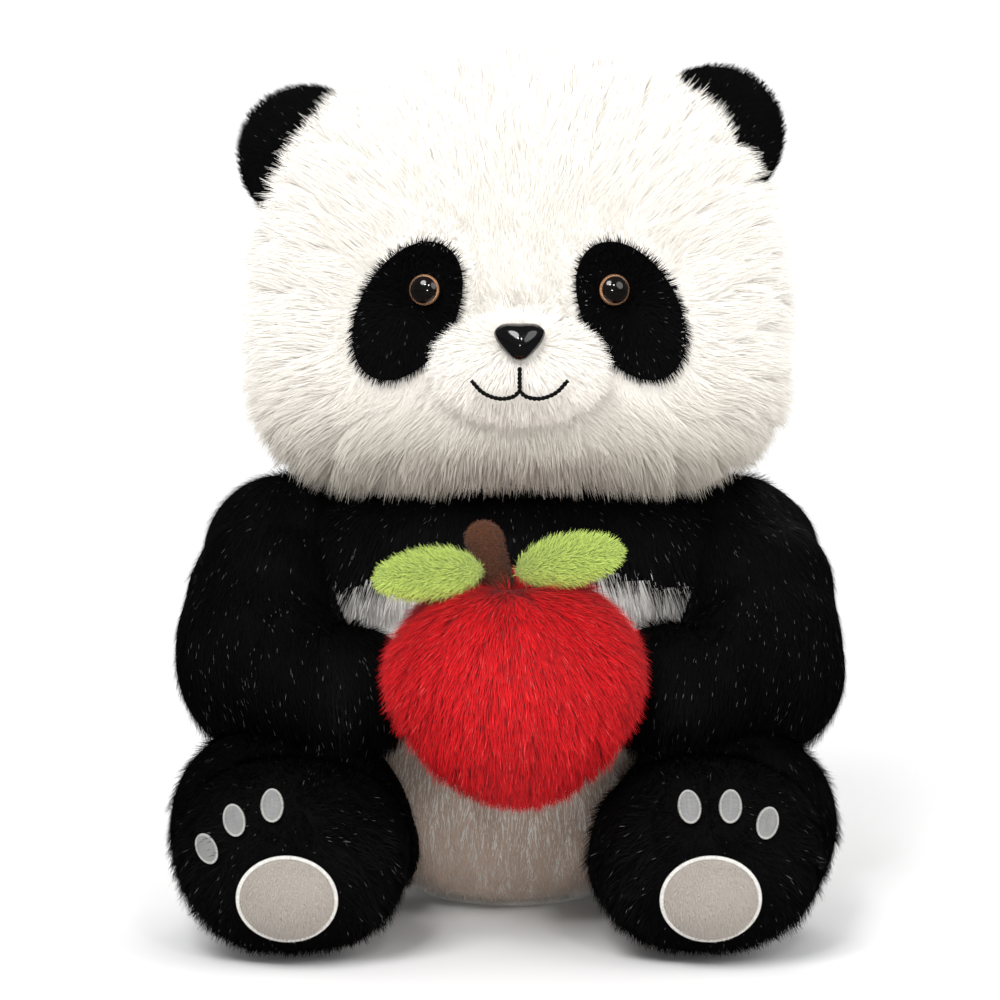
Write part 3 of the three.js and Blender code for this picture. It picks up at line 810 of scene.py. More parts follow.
def thread_material(name, colour, rough=0.35, uneven=0.3, sheen=0.3, gloss=0.6):
    """Satin thread: each stitch takes the light a little differently."""
    material, tree, shader = material_with(
        name, colour, Sheen_Weight=sheen, Specular_IOR_Level=gloss
    )
    shade = shader_attribute(tree, "shade")
    fibre = object_noise(tree, 2600.0)
    mixed = plus(tree, times(tree, shade, 0.5), times(tree, fibre, 0.5))
    hue = colour_mix(tree, mixed, solid(darker(colour, 1 - uneven)), solid(colour))
    feed(tree, shader.inputs, Base_Color=hue, Roughness=plus(tree, times(tree, shade, 0.2), rough))
    return material


IRIS = (0.008, 0.004, 0.003, 1)


def button_material(name, colour, ring=None, coat=0.4, gloss=0.15):
    """Moulded plastic under a clear coat, with a printed metallic ring where asked for."""
    material, tree, shader = material_with(
        name, colour, Coat_Weight=coat, Coat_Roughness=0.02, Specular_IOR_Level=gloss
    )
    haze = object_noise(tree, 900.0)
    mottled = colour_mix(tree, haze, solid(colour), solid(darker(colour, 0.5)))
    feed(tree, shader.inputs, Roughness=plus(tree, times(tree, haze, 0.12), 0.08))
    if ring is None:
        feed(tree, shader.inputs, Base_Color=mottled)
        return material
    reach = shader_attribute(tree, "ring")
    outside = minus(tree, 1.0, ramp(tree, reach, 0.93, 0.96))
    band = times(tree, ramp(tree, reach, 0.83, 0.86), outside)
    iris = colour_mix(tree, times(tree, ramp(tree, reach, 0.45, 0.75), 0.6), mottled, IRIS)
    hue = colour_mix(tree, band, iris, solid(ring))
    feed(tree, shader.inputs, Base_Color=hue, Metallic=times(tree, band, 0.75))
    return material


FINISHES = {}


def finish(name):
    """The named finish, made the first time it is asked for."""
    if name not in FINISHES:
        build, label, colour, how = finish_table(bpy.context.scene.panda_colours)[name]
        FINISHES[name] = build(label, tuple(colour), **how)
    return FINISHES[name]


def finish_table(colours):
    """Each finish: what builds it, its label, its colour and what sets it apart."""
    white, black, cream = colours.white, colours.black, colours.cream
    matt = {"rough": 0.8, "sheen": 0.2, "gloss": 0.15}
    # Each pile is painted darker towards its roots as shade deep in the pile, and its Tint colour
    # is the painted shade of its lower parts; on the leaves it is a plain yellower hue.
    piles = {
        "white_pile": ("White pile", white, dict(
            root=0.94, tip=1.06, tint=(0.50, 0.45, 0.37), uneven=0.06, **matt)),
        "muzzle_pile": ("Muzzle pile", white, dict(
            root=0.96, tip=1.1, tint=(0.70, 0.64, 0.56), uneven=0.06, **matt)),
        # The belly pile is a darker, greyer copy of the white pile: painted shade on the belly.
        "belly_pile": ("Belly pile", colours.belly, dict(
            root=0.85, tip=1.05, tint=(0.55, 0.42, 0.335), uneven=0.1, rough=0.8, gloss=0.15)),
        "black_pile": ("Black pile", black, dict(
            root=0.5, tip=1.8, tint=black, uneven=0.5, glint=(0.13, 0.13, 0.14),
            glint_share=0.03, rough=0.6, sheen=0.0, gloss=0.05)),
        "black_short_pile": ("Short black pile", black, dict(
            root=0.6, tip=1.4, tint=black, uneven=0.4, glint=(0.10, 0.10, 0.11),
            glint_share=0.015, rough=0.7, sheen=0.0, gloss=0.04)),
        "red_pile": ("Red pile", colours.red, dict(
            root=0.66, tip=1.3, tint=(0.28, 0.001, 0.003), uneven=0.5, rough=0.6, sheen=0.04,
            gloss=0.15, glint=(0.90, 0.08, 0.08), glint_share=0.04)),
        "green_pile": ("Green pile", colours.green, dict(
            root=0.55, tip=1.25, tint=(0.5, 0.52, 0.10), uneven=0.3, rough=0.7, sheen=0.3)),
        "brown_nap": ("Brown felt nap", colours.brown, dict(
            root=0.6, tip=1.4, uneven=0.4, rough=0.85, sheen=0.2)),
        "cream_nap": ("Cream velour nap", cream, dict(
            root=0.85, tip=1.05, uneven=0.12, rough=0.7, sheen=0.3)),
    }
    cloths = {
        # The white, red and green backings are darker than their pile, like its roots: painted
        # shade at the foot of the pile.
        "white_backing": ("White knitted backing", darker(white, 0.95), dict(dark=0.92)),
        "black_backing": ("Black knitted backing", black, dict(dark=0.5, sheen=0.0, gloss=0.04)),
        "red_backing": ("Red knitted backing", darker(colours.red, 0.45), dict(sheen=0.1)),
        "green_backing": ("Green backing", darker(colours.green, 0.7), {}),
        "brown_felt": ("Brown felt", colours.brown, dict(
            dark=0.6, grain=2600.0, blotch=300.0, depth=0.0008)),
        "cream_velour": ("Cream velour", cream, dict(dark=0.88, grain=3200.0, blotch=90.0)),
        "seat_fabric": ("Base cloth", darker(white, 0.8), dict(grain=1400.0)),
        "washer_plastic": ("Washer plastic", (0.75, 0.75, 0.76), dict(
            dark=0.95, rough=0.4, sheen=0.0, strength=0.1)),
        "filling": ("Fibre filling", (0.9, 0.9, 0.89), dict(
            dark=0.8, grain=700.0, blotch=90.0, depth=0.002, strength=1.0)),
    }
    threads = {
        "satin_thread": ("Satin thread", colours.satin, {}),
        "grey_thread": ("Toe outline thread", darker(colours.rim, 0.55), {}),
        "rim_thread": ("Rim thread", colours.rim, {}),
        "black_thread": ("Black thread", (0.004, 0.0035, 0.003), dict(
            rough=0.5, sheen=0.0, gloss=0.12)),
    }
    buttons = {
        "eye_plastic": ("Eye plastic", (0.003, 0.0025, 0.002), dict(
            ring=tuple(colours.copper), coat=1.0, gloss=0.2)),
        "nose_plastic": ("Nose plastic", (0.003, 0.003, 0.0035), dict(coat=0.8, gloss=0.3)),
    }
    found = {}
    for build, table in (
        (pile_material, piles), (cloth_material, cloths),
        (thread_material, threads), (button_material, buttons),
    ):
        found.update({name: (build, *row) for name, row in table.items()})
    return found


# ---- making pieces


def place_piece(thing, body, slot, *nodes, fill=None):
    """Puts a finished piece on its body and hides the CAD nodes it stands for; the slot and the
    fill are not used.
    """
    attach(thing, body)
    if nodes:
        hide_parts(*nodes)
    return thing


def along_surface(field, normals):
    """The part of a vector field that lies in the surface."""
    return field - normals * np.sum(field * normals, axis=1)[:, None]


def unit(field):
    return field / np.maximum(np.linalg.norm(field, axis=1), 1e-9)[:, None]


def mark_pile(thing, comb, pile=1.0, reach=1.0, tint=0.0):
    """Writes the fields that the pile is planted by."""
    count = len(thing.data.vertices)
    set_field(thing, "comb", comb, "FLOAT_VECTOR")
    for name, value in (("pile", pile), ("reach", reach), ("tint", tint)):
        set_field(thing, name, np.broadcast_to(value, count))
    return thing


def plant(bed, name, body, slot, finish_name, **how):
    """Plants pile on a marked bed, as its own piece."""
    tree = tree_for("Pile", pile_tree)
    strands = run_tree(copy_of(bed, name), tree, material=finish(finish_name), **how)
    drop_fields(strands, "comb", "pile", "reach", "out")
    return place_piece(strands, body, slot)


def cover(bed, name, body, slot, backing, *nodes, thickness=0.0012, fill=0.85):
    """The sewn backing of a bed, as a closed cloth shell that stands for its CAD nodes."""
    bed.name = name
    drop_fields(bed, "comb", "pile", "reach", "tint")
    give_thickness(wear(bed, backing), thickness)
    return place_piece(bed, body, slot, *nodes, fill=fill)


def long_pile(sizes, **how):
    density = sizes.density * 1e6
    return {"length": sizes.long_pile, "width": sizes.strand, "density": density, **how}


def flat_pile(sizes, **how):
    """The long black pile, brushed down over the body and limbs."""
    lying = {"length": sizes.flat_pile, "stand": 0.20, "stray": 0.10, "curl": 0.10}
    return long_pile(sizes, **{**lying, "lock_pull": 0.20, "lock_size": 0.010, **how})


def close_pile(sizes, length, width, density, seed, lock_size, lock_pull, stray, stand, **how):
    """A shorter pile: strands so many times as narrow and as close as those of the head."""
    return dict(
        length=length, width=sizes.strand * width, density=sizes.density * (density * 1e6),
        seed=seed, lock_size=lock_size, lock_pull=lock_pull, stray=stray, stand=stand, **how,
    )


def oval_place(node):
    low, high = span(node)
    return (low + high) / 2, (high - low) / 2


def tilted(points, centre, angle, half_x, half_z):
    """How far out points are in an oval turned about Y: 1 is its edge."""
    x, z = points[:, 0] - centre[0], points[:, 2] - centre[2]
    c, s = math.cos(angle), math.sin(angle)
    return np.hypot((x * c - z * s) / half_x, (x * s + z * c) / half_z)


PATCH_SHORT, PATCH_LONG, PATCH_TILT = 0.018, 0.0285, math.radians(30)
PATCH_OUT, PATCH_UP = 0.0415, 0.015  # from the middle of the head


def patch_centre(side):
    return SHAPE["head"].middle + (PATCH_OUT * side, 0, PATCH_UP)


def patch_oval(points, side):
    """How far out points are in an eye patch: 1 is its edge."""
    return tilted(points, patch_centre(side), -PATCH_TILT * side, PATCH_SHORT, PATCH_LONG)


def patch_reach(points):
    """How much of their length strands keep beside the eye patches, to leave them clear."""
    reach = np.ones(len(points))
    for _, side in SIDES:
        kept = np.minimum(reach, 0.42 + 0.58 * fade(patch_oval(points, side), 1.0, 1.5))
        reach = np.where(points[:, 1] < 0, kept, reach)
    return reach


def head_mask(points):
    """Where the head carries pile: not under the patches, the muzzle, the ears or the neck."""
    keep = np.ones(len(points))
    for name, side in SIDES:
        keep *= np.where(points[:, 1] < 0, fade(patch_oval(points, side), 0.93, 1.0), 1)
        ear = SHAPE[f"{name}_ear"]
        flat = np.hypot(points[:, 0] - ear[0], points[:, 2] - ear[2])
        inside = (np.abs(points[:, 1] - ear[1]) < 0.0045) & (flat < EAR_RADIUS)
        keep *= np.where(inside, 0, 1)
    keep *= fade(SHAPE["muzzle"].inset(0.003).fullness(points), 0.94, 1.0)
    return keep


class PANDA_OT_head(bpy.types.Operator):
    """Make the front and back of the head with their long white pile"""

    bl_idname = "panda.head"
    bl_label = "Head"

    def execute(self, context):
        sizes = context.scene.panda_sizes
        head = SHAPE["head"]
        whole = mesh_object("head", *head.inset(PILE).surface(60, 96))
        lumpy(whole, 0.0016, 0.035, 3)
        points, normals = skin(whole)
        nose = head.middle + (0, -0.095, -0.004)
        away = unit(points - nose)
        for _, side in SIDES:
            beside = (1 - fade(patch_oval(points, side), 1.0, 1.6)) * (points[:, 1] < 0)
            from_patch = unit((points - patch_centre(side)) * (1, 0, 1))
            away = away * (1 - beside)[:, None] + from_patch * beside[:, None]
        x, y, z = points.T
        low = fade(head.middle[2] - z, -0.005, 0.055)
        drop = np.zeros_like(points)
        drop[:, 2] = -0.30 * fade(y, -0.06, 0.0) - 0.5 * fade(y, -0.02, 0.05) - 0.35 * low
        comb = along_surface(away * 0.55 + drop, normals) * 0.9
        keep = head_mask(points) * fade(np.hypot(x, y) + (z - 0.172) * 6, 0.030, 0.040)
        fringe = fade(head.middle[2] - 0.036 - z, 0.0, 0.014)
        from_nose = np.hypot(x - nose[0], z - nose[2])
        face = np.where(y < 0, fade(from_nose, 0.035, 0.080), 1)
        seam = span("head_back_cover")[0][1]
        near_seam = 1 - fade(np.abs(y - seam + 0.004), 0.0, 0.016)
        reach = (1 + 0.55 * fringe) * patch_reach(points) * (0.62 + 0.38 * face)
        comb[:, 2] -= 0.5 * fringe
        # The lower head is mixed towards the Tint colour: painted shade, darker and creamier
        # towards the bottom of the head.
        mark_pile(whole, comb, keep, reach * (1 - 0.35 * near_seam), 0.85 * low)
        brow = head.middle[2] + 0.028
        soft = {"stand": 0.46, "stray": 0.11, "lock_pull": 0.28, "lock_size": 0.014}
        fine = {**soft, "width": sizes.strand * 0.76, "density": sizes.density * 1.8e6}
        crown = ("crown", lambda m: m[:, 2] < brow, 11, fine)
        cheeks = ("cheeks", lambda m: m[:, 2] >= brow, 13, fine)
        nape = ("head_back", lambda m: m[:, 2] < 0, 12, soft)
        for name, left_out, piles in (
            ("head_front", lambda m: m[:, 1] > seam, (crown, cheeks)),
            ("head_back", lambda m: m[:, 1] <= seam, (nape,)),
        ):
            half = drop_faces(copy_of(whole, name), left_out)
            for pile_name, bare, seed, how in piles:
                bed = drop_faces(copy_of(half, "pile_bed"), bare)
                how = {**long_pile(sizes, seed=seed), **how}
                plant(bed, f"{pile_name}_pile", "head", "white_pile", "white_pile", **how)
                bpy.data.objects.remove(bed)
            cover(half, name, "head", "white_pile", "white_backing", f"{name}_cover")
        bpy.data.objects.remove(whole)
        return {"FINISHED"}


class PANDA_OT_muzzle(bpy.types.Operator):
    """Make the muzzle with its short dense pile"""

    bl_idname = "panda.muzzle"
    bl_label = "Muzzle"

    def execute(self, context):
        sizes = context.scene.panda_sizes
        head, muzzle = SHAPE["head"], SHAPE["muzzle"]
        bed = mesh_object("muzzle", *muzzle.inset(SHORT_PILE).surface(40, 64))
        drop_faces(bed, lambda m: head.inset(PILE + 0.004).fullness(m) < 1)
        points, normals = skin(bed)
        nose = muzzle.middle + (0, -0.02, 0.010)
        away = unit(points - nose)
        away[:, 2] -= 0.3
        comb = along_surface(away, normals) * 0.8
        smile = np.array([muzzle_front(x, z) for x, z in smile_line()])
        gap = np.linalg.norm((points[:, None] - smile[None])[:, :, [0, 2]], axis=2).min(axis=1)
        under = tilted(points, oval_place("nose")[0], 0.0, 0.0085, 0.0065)
        reach = 0.35 + 0.65 * fade(gap, 0.001, 0.004)
        keep = fade(under, 0.8, 1.0)
        low = fade(muzzle.middle[2] - points[:, 2], -0.002, 0.02)
        # The lower muzzle is mixed a little towards the Tint colour: painted shade towards its
        # underside.
        mark_pile(bed, comb, keep, reach, low * 0.3)
        how = close_pile(sizes, sizes.short_pile, 0.8, 3.2, 21, 0.006, 0.25, 0.2, 0.75)
        plant(bed, "muzzle_pile", "head", "muzzle_pile", "muzzle_pile", **how)
        sewn = ("muzzle", "head", "muzzle_pile", "white_backing", "muzzle_cover")
        cover(bed, *sewn, thickness=0.001)
        return {"FINISHED"}


HALF_SMILE = ((0.002, -0.015), (0.007, -0.016), (0.013, -0.014), (0.0175, -0.0095))
THREAD = 0.0008


def smile_line():
    """The mouth's points across and up, from corner to corner through the dip."""
    right = [(-x, z) for x, z in reversed(HALF_SMILE)]
    return right + [(0.0, -0.0133)] + list(HALF_SMILE)


def muzzle_front(x, z, lift=0.0):
    """A point on the front of the muzzle, from the middle of the head."""
    head, muzzle = SHAPE["head"], SHAPE["muzzle"]
    at_x, at_z = head.middle[0] + x, head.middle[2] + z
    return np.array((at_x, muzzle.front_at(at_x, at_z) - lift, at_z))


def tube(path, radius, sides):
    """Points and faces of a closed round cord along a path."""
    path = np.asarray(path)
    along = tangents(path)
    points = [path[0]]
    ref = np.array((0.0, 0.0, 1.0))
    for k, (centre, t) in enumerate(zip(path, along)):
        ref = ref - t * ref.dot(t)
        ref /= np.linalg.norm(ref)
        other = np.cross(t, ref)
        end = min(k, len(path) - 1 - k)
        r = radius * math.sqrt(1 - (1 - (end + 1) / 3) ** 2) if end < 2 else radius
        for s in range(sides):
            turn = TURN * s / sides
            points.append(centre + (ref * math.cos(turn) + other * math.sin(turn)) * r)
    points.append(path[-1])
    return np.array(points), ring_faces(len(path), sides)


def twisted(path, radius, pitch, plies=2, sides=7):
    """Points and faces of a plied thread along a path."""
    along = tangents(path)
    steps = np.linalg.norm(np.diff(path, axis=0), axis=1)
    length = np.concatenate([[0], np.cumsum(steps)])
    parts = []
    ref = np.array((0.0, 0.0, 1.0))
    frames = []
    for t in along:
        ref = ref - t * ref.dot(t)
        ref /= np.linalg.norm(ref)
        frames.append((ref, np.cross(t, ref)))
    for ply in range(plies):
        turn = TURN * (length / pitch + ply / plies)
        line = [
            p + (a * math.cos(w) + b * math.sin(w)) * radius * 0.48
            for p, (a, b), w in zip(path, frames, turn)
        ]
        parts.append(tube(np.array(line), radius * 0.6, sides))
    return joined(parts)


def joined(parts):
    """Several (points, faces) pairs as one."""
    points, faces, count = [], [], 0
    for some, quads in parts:
        points.append(some)
        faces += [tuple(i + count for i in face) for face in quads]
        count += len(some)
    return np.concatenate(points), faces


class PANDA_OT_mouth(bpy.types.Operator):
    """Sew the mouth: a drop below the nose and a wide smile, in plied thread"""

    bl_idname = "panda.mouth"
    bl_label = "Mouth"

    def execute(self, context):
        lift = THREAD * 0.6
        smile = smooth_path([muzzle_front(x, z, lift) for x, z in smile_line()], 150)
        drop = smooth_path([muzzle_front(0, z, lift) for z in (-0.0045, -0.009, -0.0133)], 30)
        parts = [twisted(line, THREAD, THREAD * 4) for line in (smile, drop)]
        cord = wear(outward(mesh_object("mouth", *joined(parts))), "black_thread")
        place_piece(cord, "head", "black_thread", "mouth_stitching")
        return {"FINISHED"}


def frame_at(centre, out, up=(0, 0, 1)):
    """A matrix whose Z points out and whose Y is as near up as it can be."""
    z = Vector(out).normalized()
    x = Vector(up).cross(z).normalized()
    y = z.cross(x)
    turn = Matrix((x, y, z)).transposed().to_4x4()
    return Matrix.Translation(Vector(centre)) @ turn


def through(matrix, points):
    turn = np.array(matrix)
    return np.asarray(points) @ turn[:3, :3].T + turn[:3, 3]


def lathe(profile, segments=48):
    """Points and faces of a closed turned shape; profile is (radius, height) from back to front."""
    points = [(0, 0, profile[0][1])]
    for radius, height in profile:
        for k in range(segments):
            turn = TURN * k / segments
            points.append((radius * math.cos(turn), radius * math.sin(turn), height))
    points.append((0, 0, profile[-1][1]))
    return np.array(points), ring_faces(len(profile), segments)


EYE_RADIUS, EYE_HEIGHT, EYE_SINK = 0.006, 0.0048, 0.0018
EYE_OUT, EYE_UP, EYE_TURN = 0.035, 0.023, math.radians(13)
EYE_SHANK = [(0.0019, -0.0129), (0.002, -0.0125), (0.002, -EYE_SINK - 0.0004)]
DOME_STEPS = 15


class PANDA_OT_eyes(bpy.types.Operator):
    """Make the safety eyes: black domes with a copper ring, each on its shank"""

    bl_idname = "panda.eyes"
    bl_label = "Eyes"

    def execute(self, context):
        head = SHAPE["head"]
        for name, side in SIDES:
            x, z = head.middle[0] + EYE_OUT * side, head.middle[2] + EYE_UP
            turn = EYE_TURN * side
            out = (math.sin(turn), -math.cos(turn), 0)
            at = (x, head.front_at(x, z), z)
            profile = EYE_SHANK + [(EYE_RADIUS * 0.9, -EYE_SINK - 0.0002)]
            profile.append((EYE_RADIUS * 0.99, -EYE_SINK))
            for step in range(DOME_STEPS):
                angle = math.pi / 2 * step / DOME_STEPS
                height = EYE_HEIGHT * math.sin(angle) - EYE_SINK + 0.0002
                profile.append((EYE_RADIUS * math.cos(angle), height))
            points, faces = lathe(profile, 64)
            ring = np.hypot(points[:, 0], points[:, 1]) / EYE_RADIUS
            eye = mesh_object(f"{name}_eye_button", through(frame_at(at, out), points), faces)
            set_field(eye, "ring", ring)
            place_piece(wear(eye, "eye_plastic"), "head", "eye_plastic", f"{name}_eye")
        return {"FINISHED"}


NOSE_OUTLINE = (  # its left half from the top down, in millimetres
    (0, 7.0), (3.6, 7.1), (7.2, 6.4), (9.3, 3.8), (8.4, 0.4), (5.6, -3.6), (2.4, -6.6),
    (0, -7.3),
)
NOSE_DEPTH, NOSE_RIM, NOSE_SAG, NOSE_UP = 0.0055, 0.0004, 0.0008, 0.0045
NOSE_TILT = math.radians(27)
NOSE_LAYERS = [(0.2, -0.012), (0.2, -0.0022), (0.86, -0.002), (0.97, -0.001), (1.0, NOSE_RIM)]


class PANDA_OT_nose(bpy.types.Operator):
    """Make the moulded nose: a rounded triangle with a soft crown"""

    bl_idname = "panda.nose"
    bl_label = "Nose"

    def execute(self, context):
        muzzle = SHAPE["muzzle"]
        half = [(x / 1000, y / 1000, 0) for x, y in NOSE_OUTLINE]
        rest = [(-x, y, 0) for x, y, _ in half[-2:0:-1]]
        loop = half + rest
        wrap = loop[-2:] + loop + loop[:3]
        count = 64
        line = smooth_path(wrap, count * 4)
        reach = (len(wrap) - 1) / (count * 4 - 1)
        first, last = 2 / reach, (2 + len(loop)) / reach
        stops = np.linspace(first, last, count, endpoint=False)
        outline = [np.interp(stops, range(len(line)), line[:, k]) for k in range(2)]
        outline = np.stack(outline, 1)[::-1]
        layers = list(NOSE_LAYERS)
        for rho in np.linspace(0.985, 0.06, 14):
            layers.append((rho, NOSE_RIM + NOSE_DEPTH * (1 - rho**2.2) ** 0.62))
        rows = []
        for rho, height in layers:
            flat = outline * rho + (0, NOSE_SAG * (1 - rho))
            rows.append(np.column_stack([flat, np.full(count, height)]))
        back, front = (0, 0, -0.0122), (0, NOSE_SAG, NOSE_RIM + NOSE_DEPTH)
        points = np.concatenate([[back], *rows, [front]])
        x, z = SHAPE["head"].middle[0], SHAPE["head"].middle[2] + NOSE_UP
        at = (x, muzzle.front_at(x, z) + 0.0012, z)
        out = (0, -math.cos(NOSE_TILT), math.sin(NOSE_TILT))
        placed = through(frame_at(at, out), points)
        nose = outward(mesh_object("nose_button", placed, ring_faces(len(rows), count)))
        place_piece(wear(nose, "nose_plastic"), "head", "nose_plastic", "nose")
        return {"FINISHED"}


def oval_sheet(centre, half_x, half_z, angle, front_at, crown=0.0, rings=10, segments=64):
    """An oval of cloth laid on a front surface: its points and faces."""
    points = []
    for r in range(rings + 1):
        rho = r / rings
        for k in range(segments if r else 1):
            turn = TURN * k / segments
            u, v = half_x * rho * math.cos(turn), half_z * rho * math.sin(turn)
            x = centre[0] + u * math.cos(angle) + v * math.sin(angle)
            z = centre[2] - u * math.sin(angle) + v * math.cos(angle)
            points.append((x, front_at(x, z) - crown * (1 - rho**2), z))
    faces = [(0, 1 + k, 1 + (k + 1) % segments) for k in range(segments)]
    for r in range(rings - 1):
        a, b = 1 + r * segments, 1 + (r + 1) * segments
        for k in range(segments):
            n = (k + 1) % segments
            faces.append((a + k, b + k, b + n, a + n))
    return np.array(points), faces


def facing_front(thing):
    """Turns an open sheet so that its faces look to the front."""
    thing.data.update()
    if sum(p.normal.y * p.area for p in thing.data.polygons) > 0:
        thing.data.flip_normals()
    return thing


class PANDA_OT_eye_patches(bpy.types.Operator):
    """Make the tilted black patches around the eyes"""

    bl_idname = "panda.eye_patches"
    bl_label = "Eye patches"

    def execute(self, context):
        sizes = context.scene.panda_sizes
        head = SHAPE["head"]
        base = head.inset(0.0034)
        for name, side in SIDES:
            centre = patch_centre(side)
            half = (PATCH_SHORT - 0.0006, PATCH_LONG - 0.0006)
            tilt = -PATCH_TILT * side
            points, faces = oval_sheet(centre, *half, tilt, base.front_at, rings=14)
            bed = facing_front(mesh_object(f"{name}_patch", points, faces))
            normals = vertex_normals(bed)
            away = unit(points - centre * (1, 0, 1) - (0, points[:, 1].mean(), 0))
            away[:, 2] -= 0.4
            comb = along_surface(away, normals) * 0.6
            eye, _ = oval_place(f"{name}_eye")
            gap = np.hypot(points[:, 0] - eye[0], points[:, 2] - eye[2])
            keep = fade(gap, 0.0052, 0.0062)
            mark_pile(bed, comb, keep, 0.55 + 0.45 * fade(gap, 0.006, 0.012))
            how = close_pile(sizes, 0.0040, 0.9, 2.4, 31 + side, 0.005, 0.15, 0.16, 0.5)
            patch = f"{name}_eye_patch"
            plant(bed, f"{patch}_pile", "head", "black_pile", "black_short_pile", **how)
            muzzle = SHAPE["muzzle"].inset(0.004)
            drop_faces(bed, lambda m: muzzle.fullness(m) < 1)
            sewn = (f"{patch}_backing", "head", "black_pile", "black_backing", patch)
            cover(bed, *sewn, fill=0.5)
        return {"FINISHED"}


class PANDA_OT_ears(bpy.types.Operator):
    """Make the padded round ears with short smooth pile"""

    bl_idname = "panda.ears"
    bl_label = "Ears"

    def execute(self, context):
        sizes = context.scene.panda_sizes
        head = SHAPE["head"]
        for name, side in SIDES:
            centre = SHAPE[f"{name}_ear"]
            round_half, thick_half = 0.0268, 0.0045
            disc = Pillow(centre, round_half, thick_half, thick_half, round_half, round_half)
            points, faces = disc.surface(48, 64)
            flat = np.hypot(points[:, 0] - centre[0], points[:, 2] - centre[2]) / round_half
            dish = 0.0016 * (1 - np.minimum(flat, 1) ** 2) ** 1.5
            points[:, 1] += np.where(points[:, 1] < centre[1], dish, 0)
            ear = f"{name}_ear"
            bed = mesh_object(ear, points, faces)
            drop_faces(bed, lambda m: head.inset(PILE).fullness(m) < 1)
            points, normals = skin(bed)
            away = points - head.middle
            comb = along_surface(unit(away), normals) * 0.9
            keep = np.where(head.inset(0.003).fullness(points) < 1, 0.4, 1.0)
            mark_pile(bed, comb, keep)
            how = close_pile(sizes, 0.0034, 0.8, 2.6, 41 + side, 0.004, 0.1, 0.2, 0.35)
            plant(bed, f"{ear}_pile", ear, "black_pile", "black_short_pile", **how)
            sewn = (f"{ear}_shell", ear, "black_pile", "black_backing", f"{ear}_cover")
            cover(bed, *sewn, thickness=0.001, fill=0.5)
        return {"FINISHED"}


def limb_depth(points):
    """How deep points lie inside any arm or leg (negative is outside)."""
    limbs = [SHAPE[f"{name}_{part}"] for name, _ in SIDES for part in ("arm", "leg")]
    return -np.min([limb.nearest(points)[0] for limb in limbs], axis=0)


def above_floor(points):
    """0 where a bed rests on the floor, 1 clear of it."""
    return fade(points[:, 2], FLOOR_GAP + 0.0005, FLOOR_GAP + 0.0015)


def short_at_floor(points):
    """How much of their length strands keep near the floor."""
    return 0.55 + 0.45 * fade(points[:, 2], 0.004, 0.020)


def flatten_below(thing):
    """Presses a thing flat where it rests on the floor."""
    points = coordinates(thing)
    points[:, 2] = np.maximum(points[:, 2], FLOOR_GAP)
    move_points(thing, points)


def skinned(name, parts, bump, size, seed):
    """One even skin over rounded parts, with soft lumps in it."""
    whole = remeshed(mesh_object(name, *joined(parts)), SKIN_VOXEL, rounds=SKIN_ROUNDS)
    return lumpy(whole, bump, size, seed)


def dress_limb(bed, limb, seed, sizes):
    """Gives an arm or a leg its long black pile and its backing."""
    how = flat_pile(sizes, seed=seed, rows=2)
    plant(bed, f"{limb}_pile", limb, "black_pile", "black_pile", **how)
    cover(bed, f"{limb}_shell", limb, "black_pile", "black_backing", f"{limb}_cover")


SEAT_PROFILE = (  # share of its half width, and height, from the floor up
    (0.96, 0.0), (0.99, 0.0004), (1.0, 0.0010), (0.995, 0.0018), (0.90, 0.0026), (0.5, 0.0029),
    (0.1, 0.003),
)


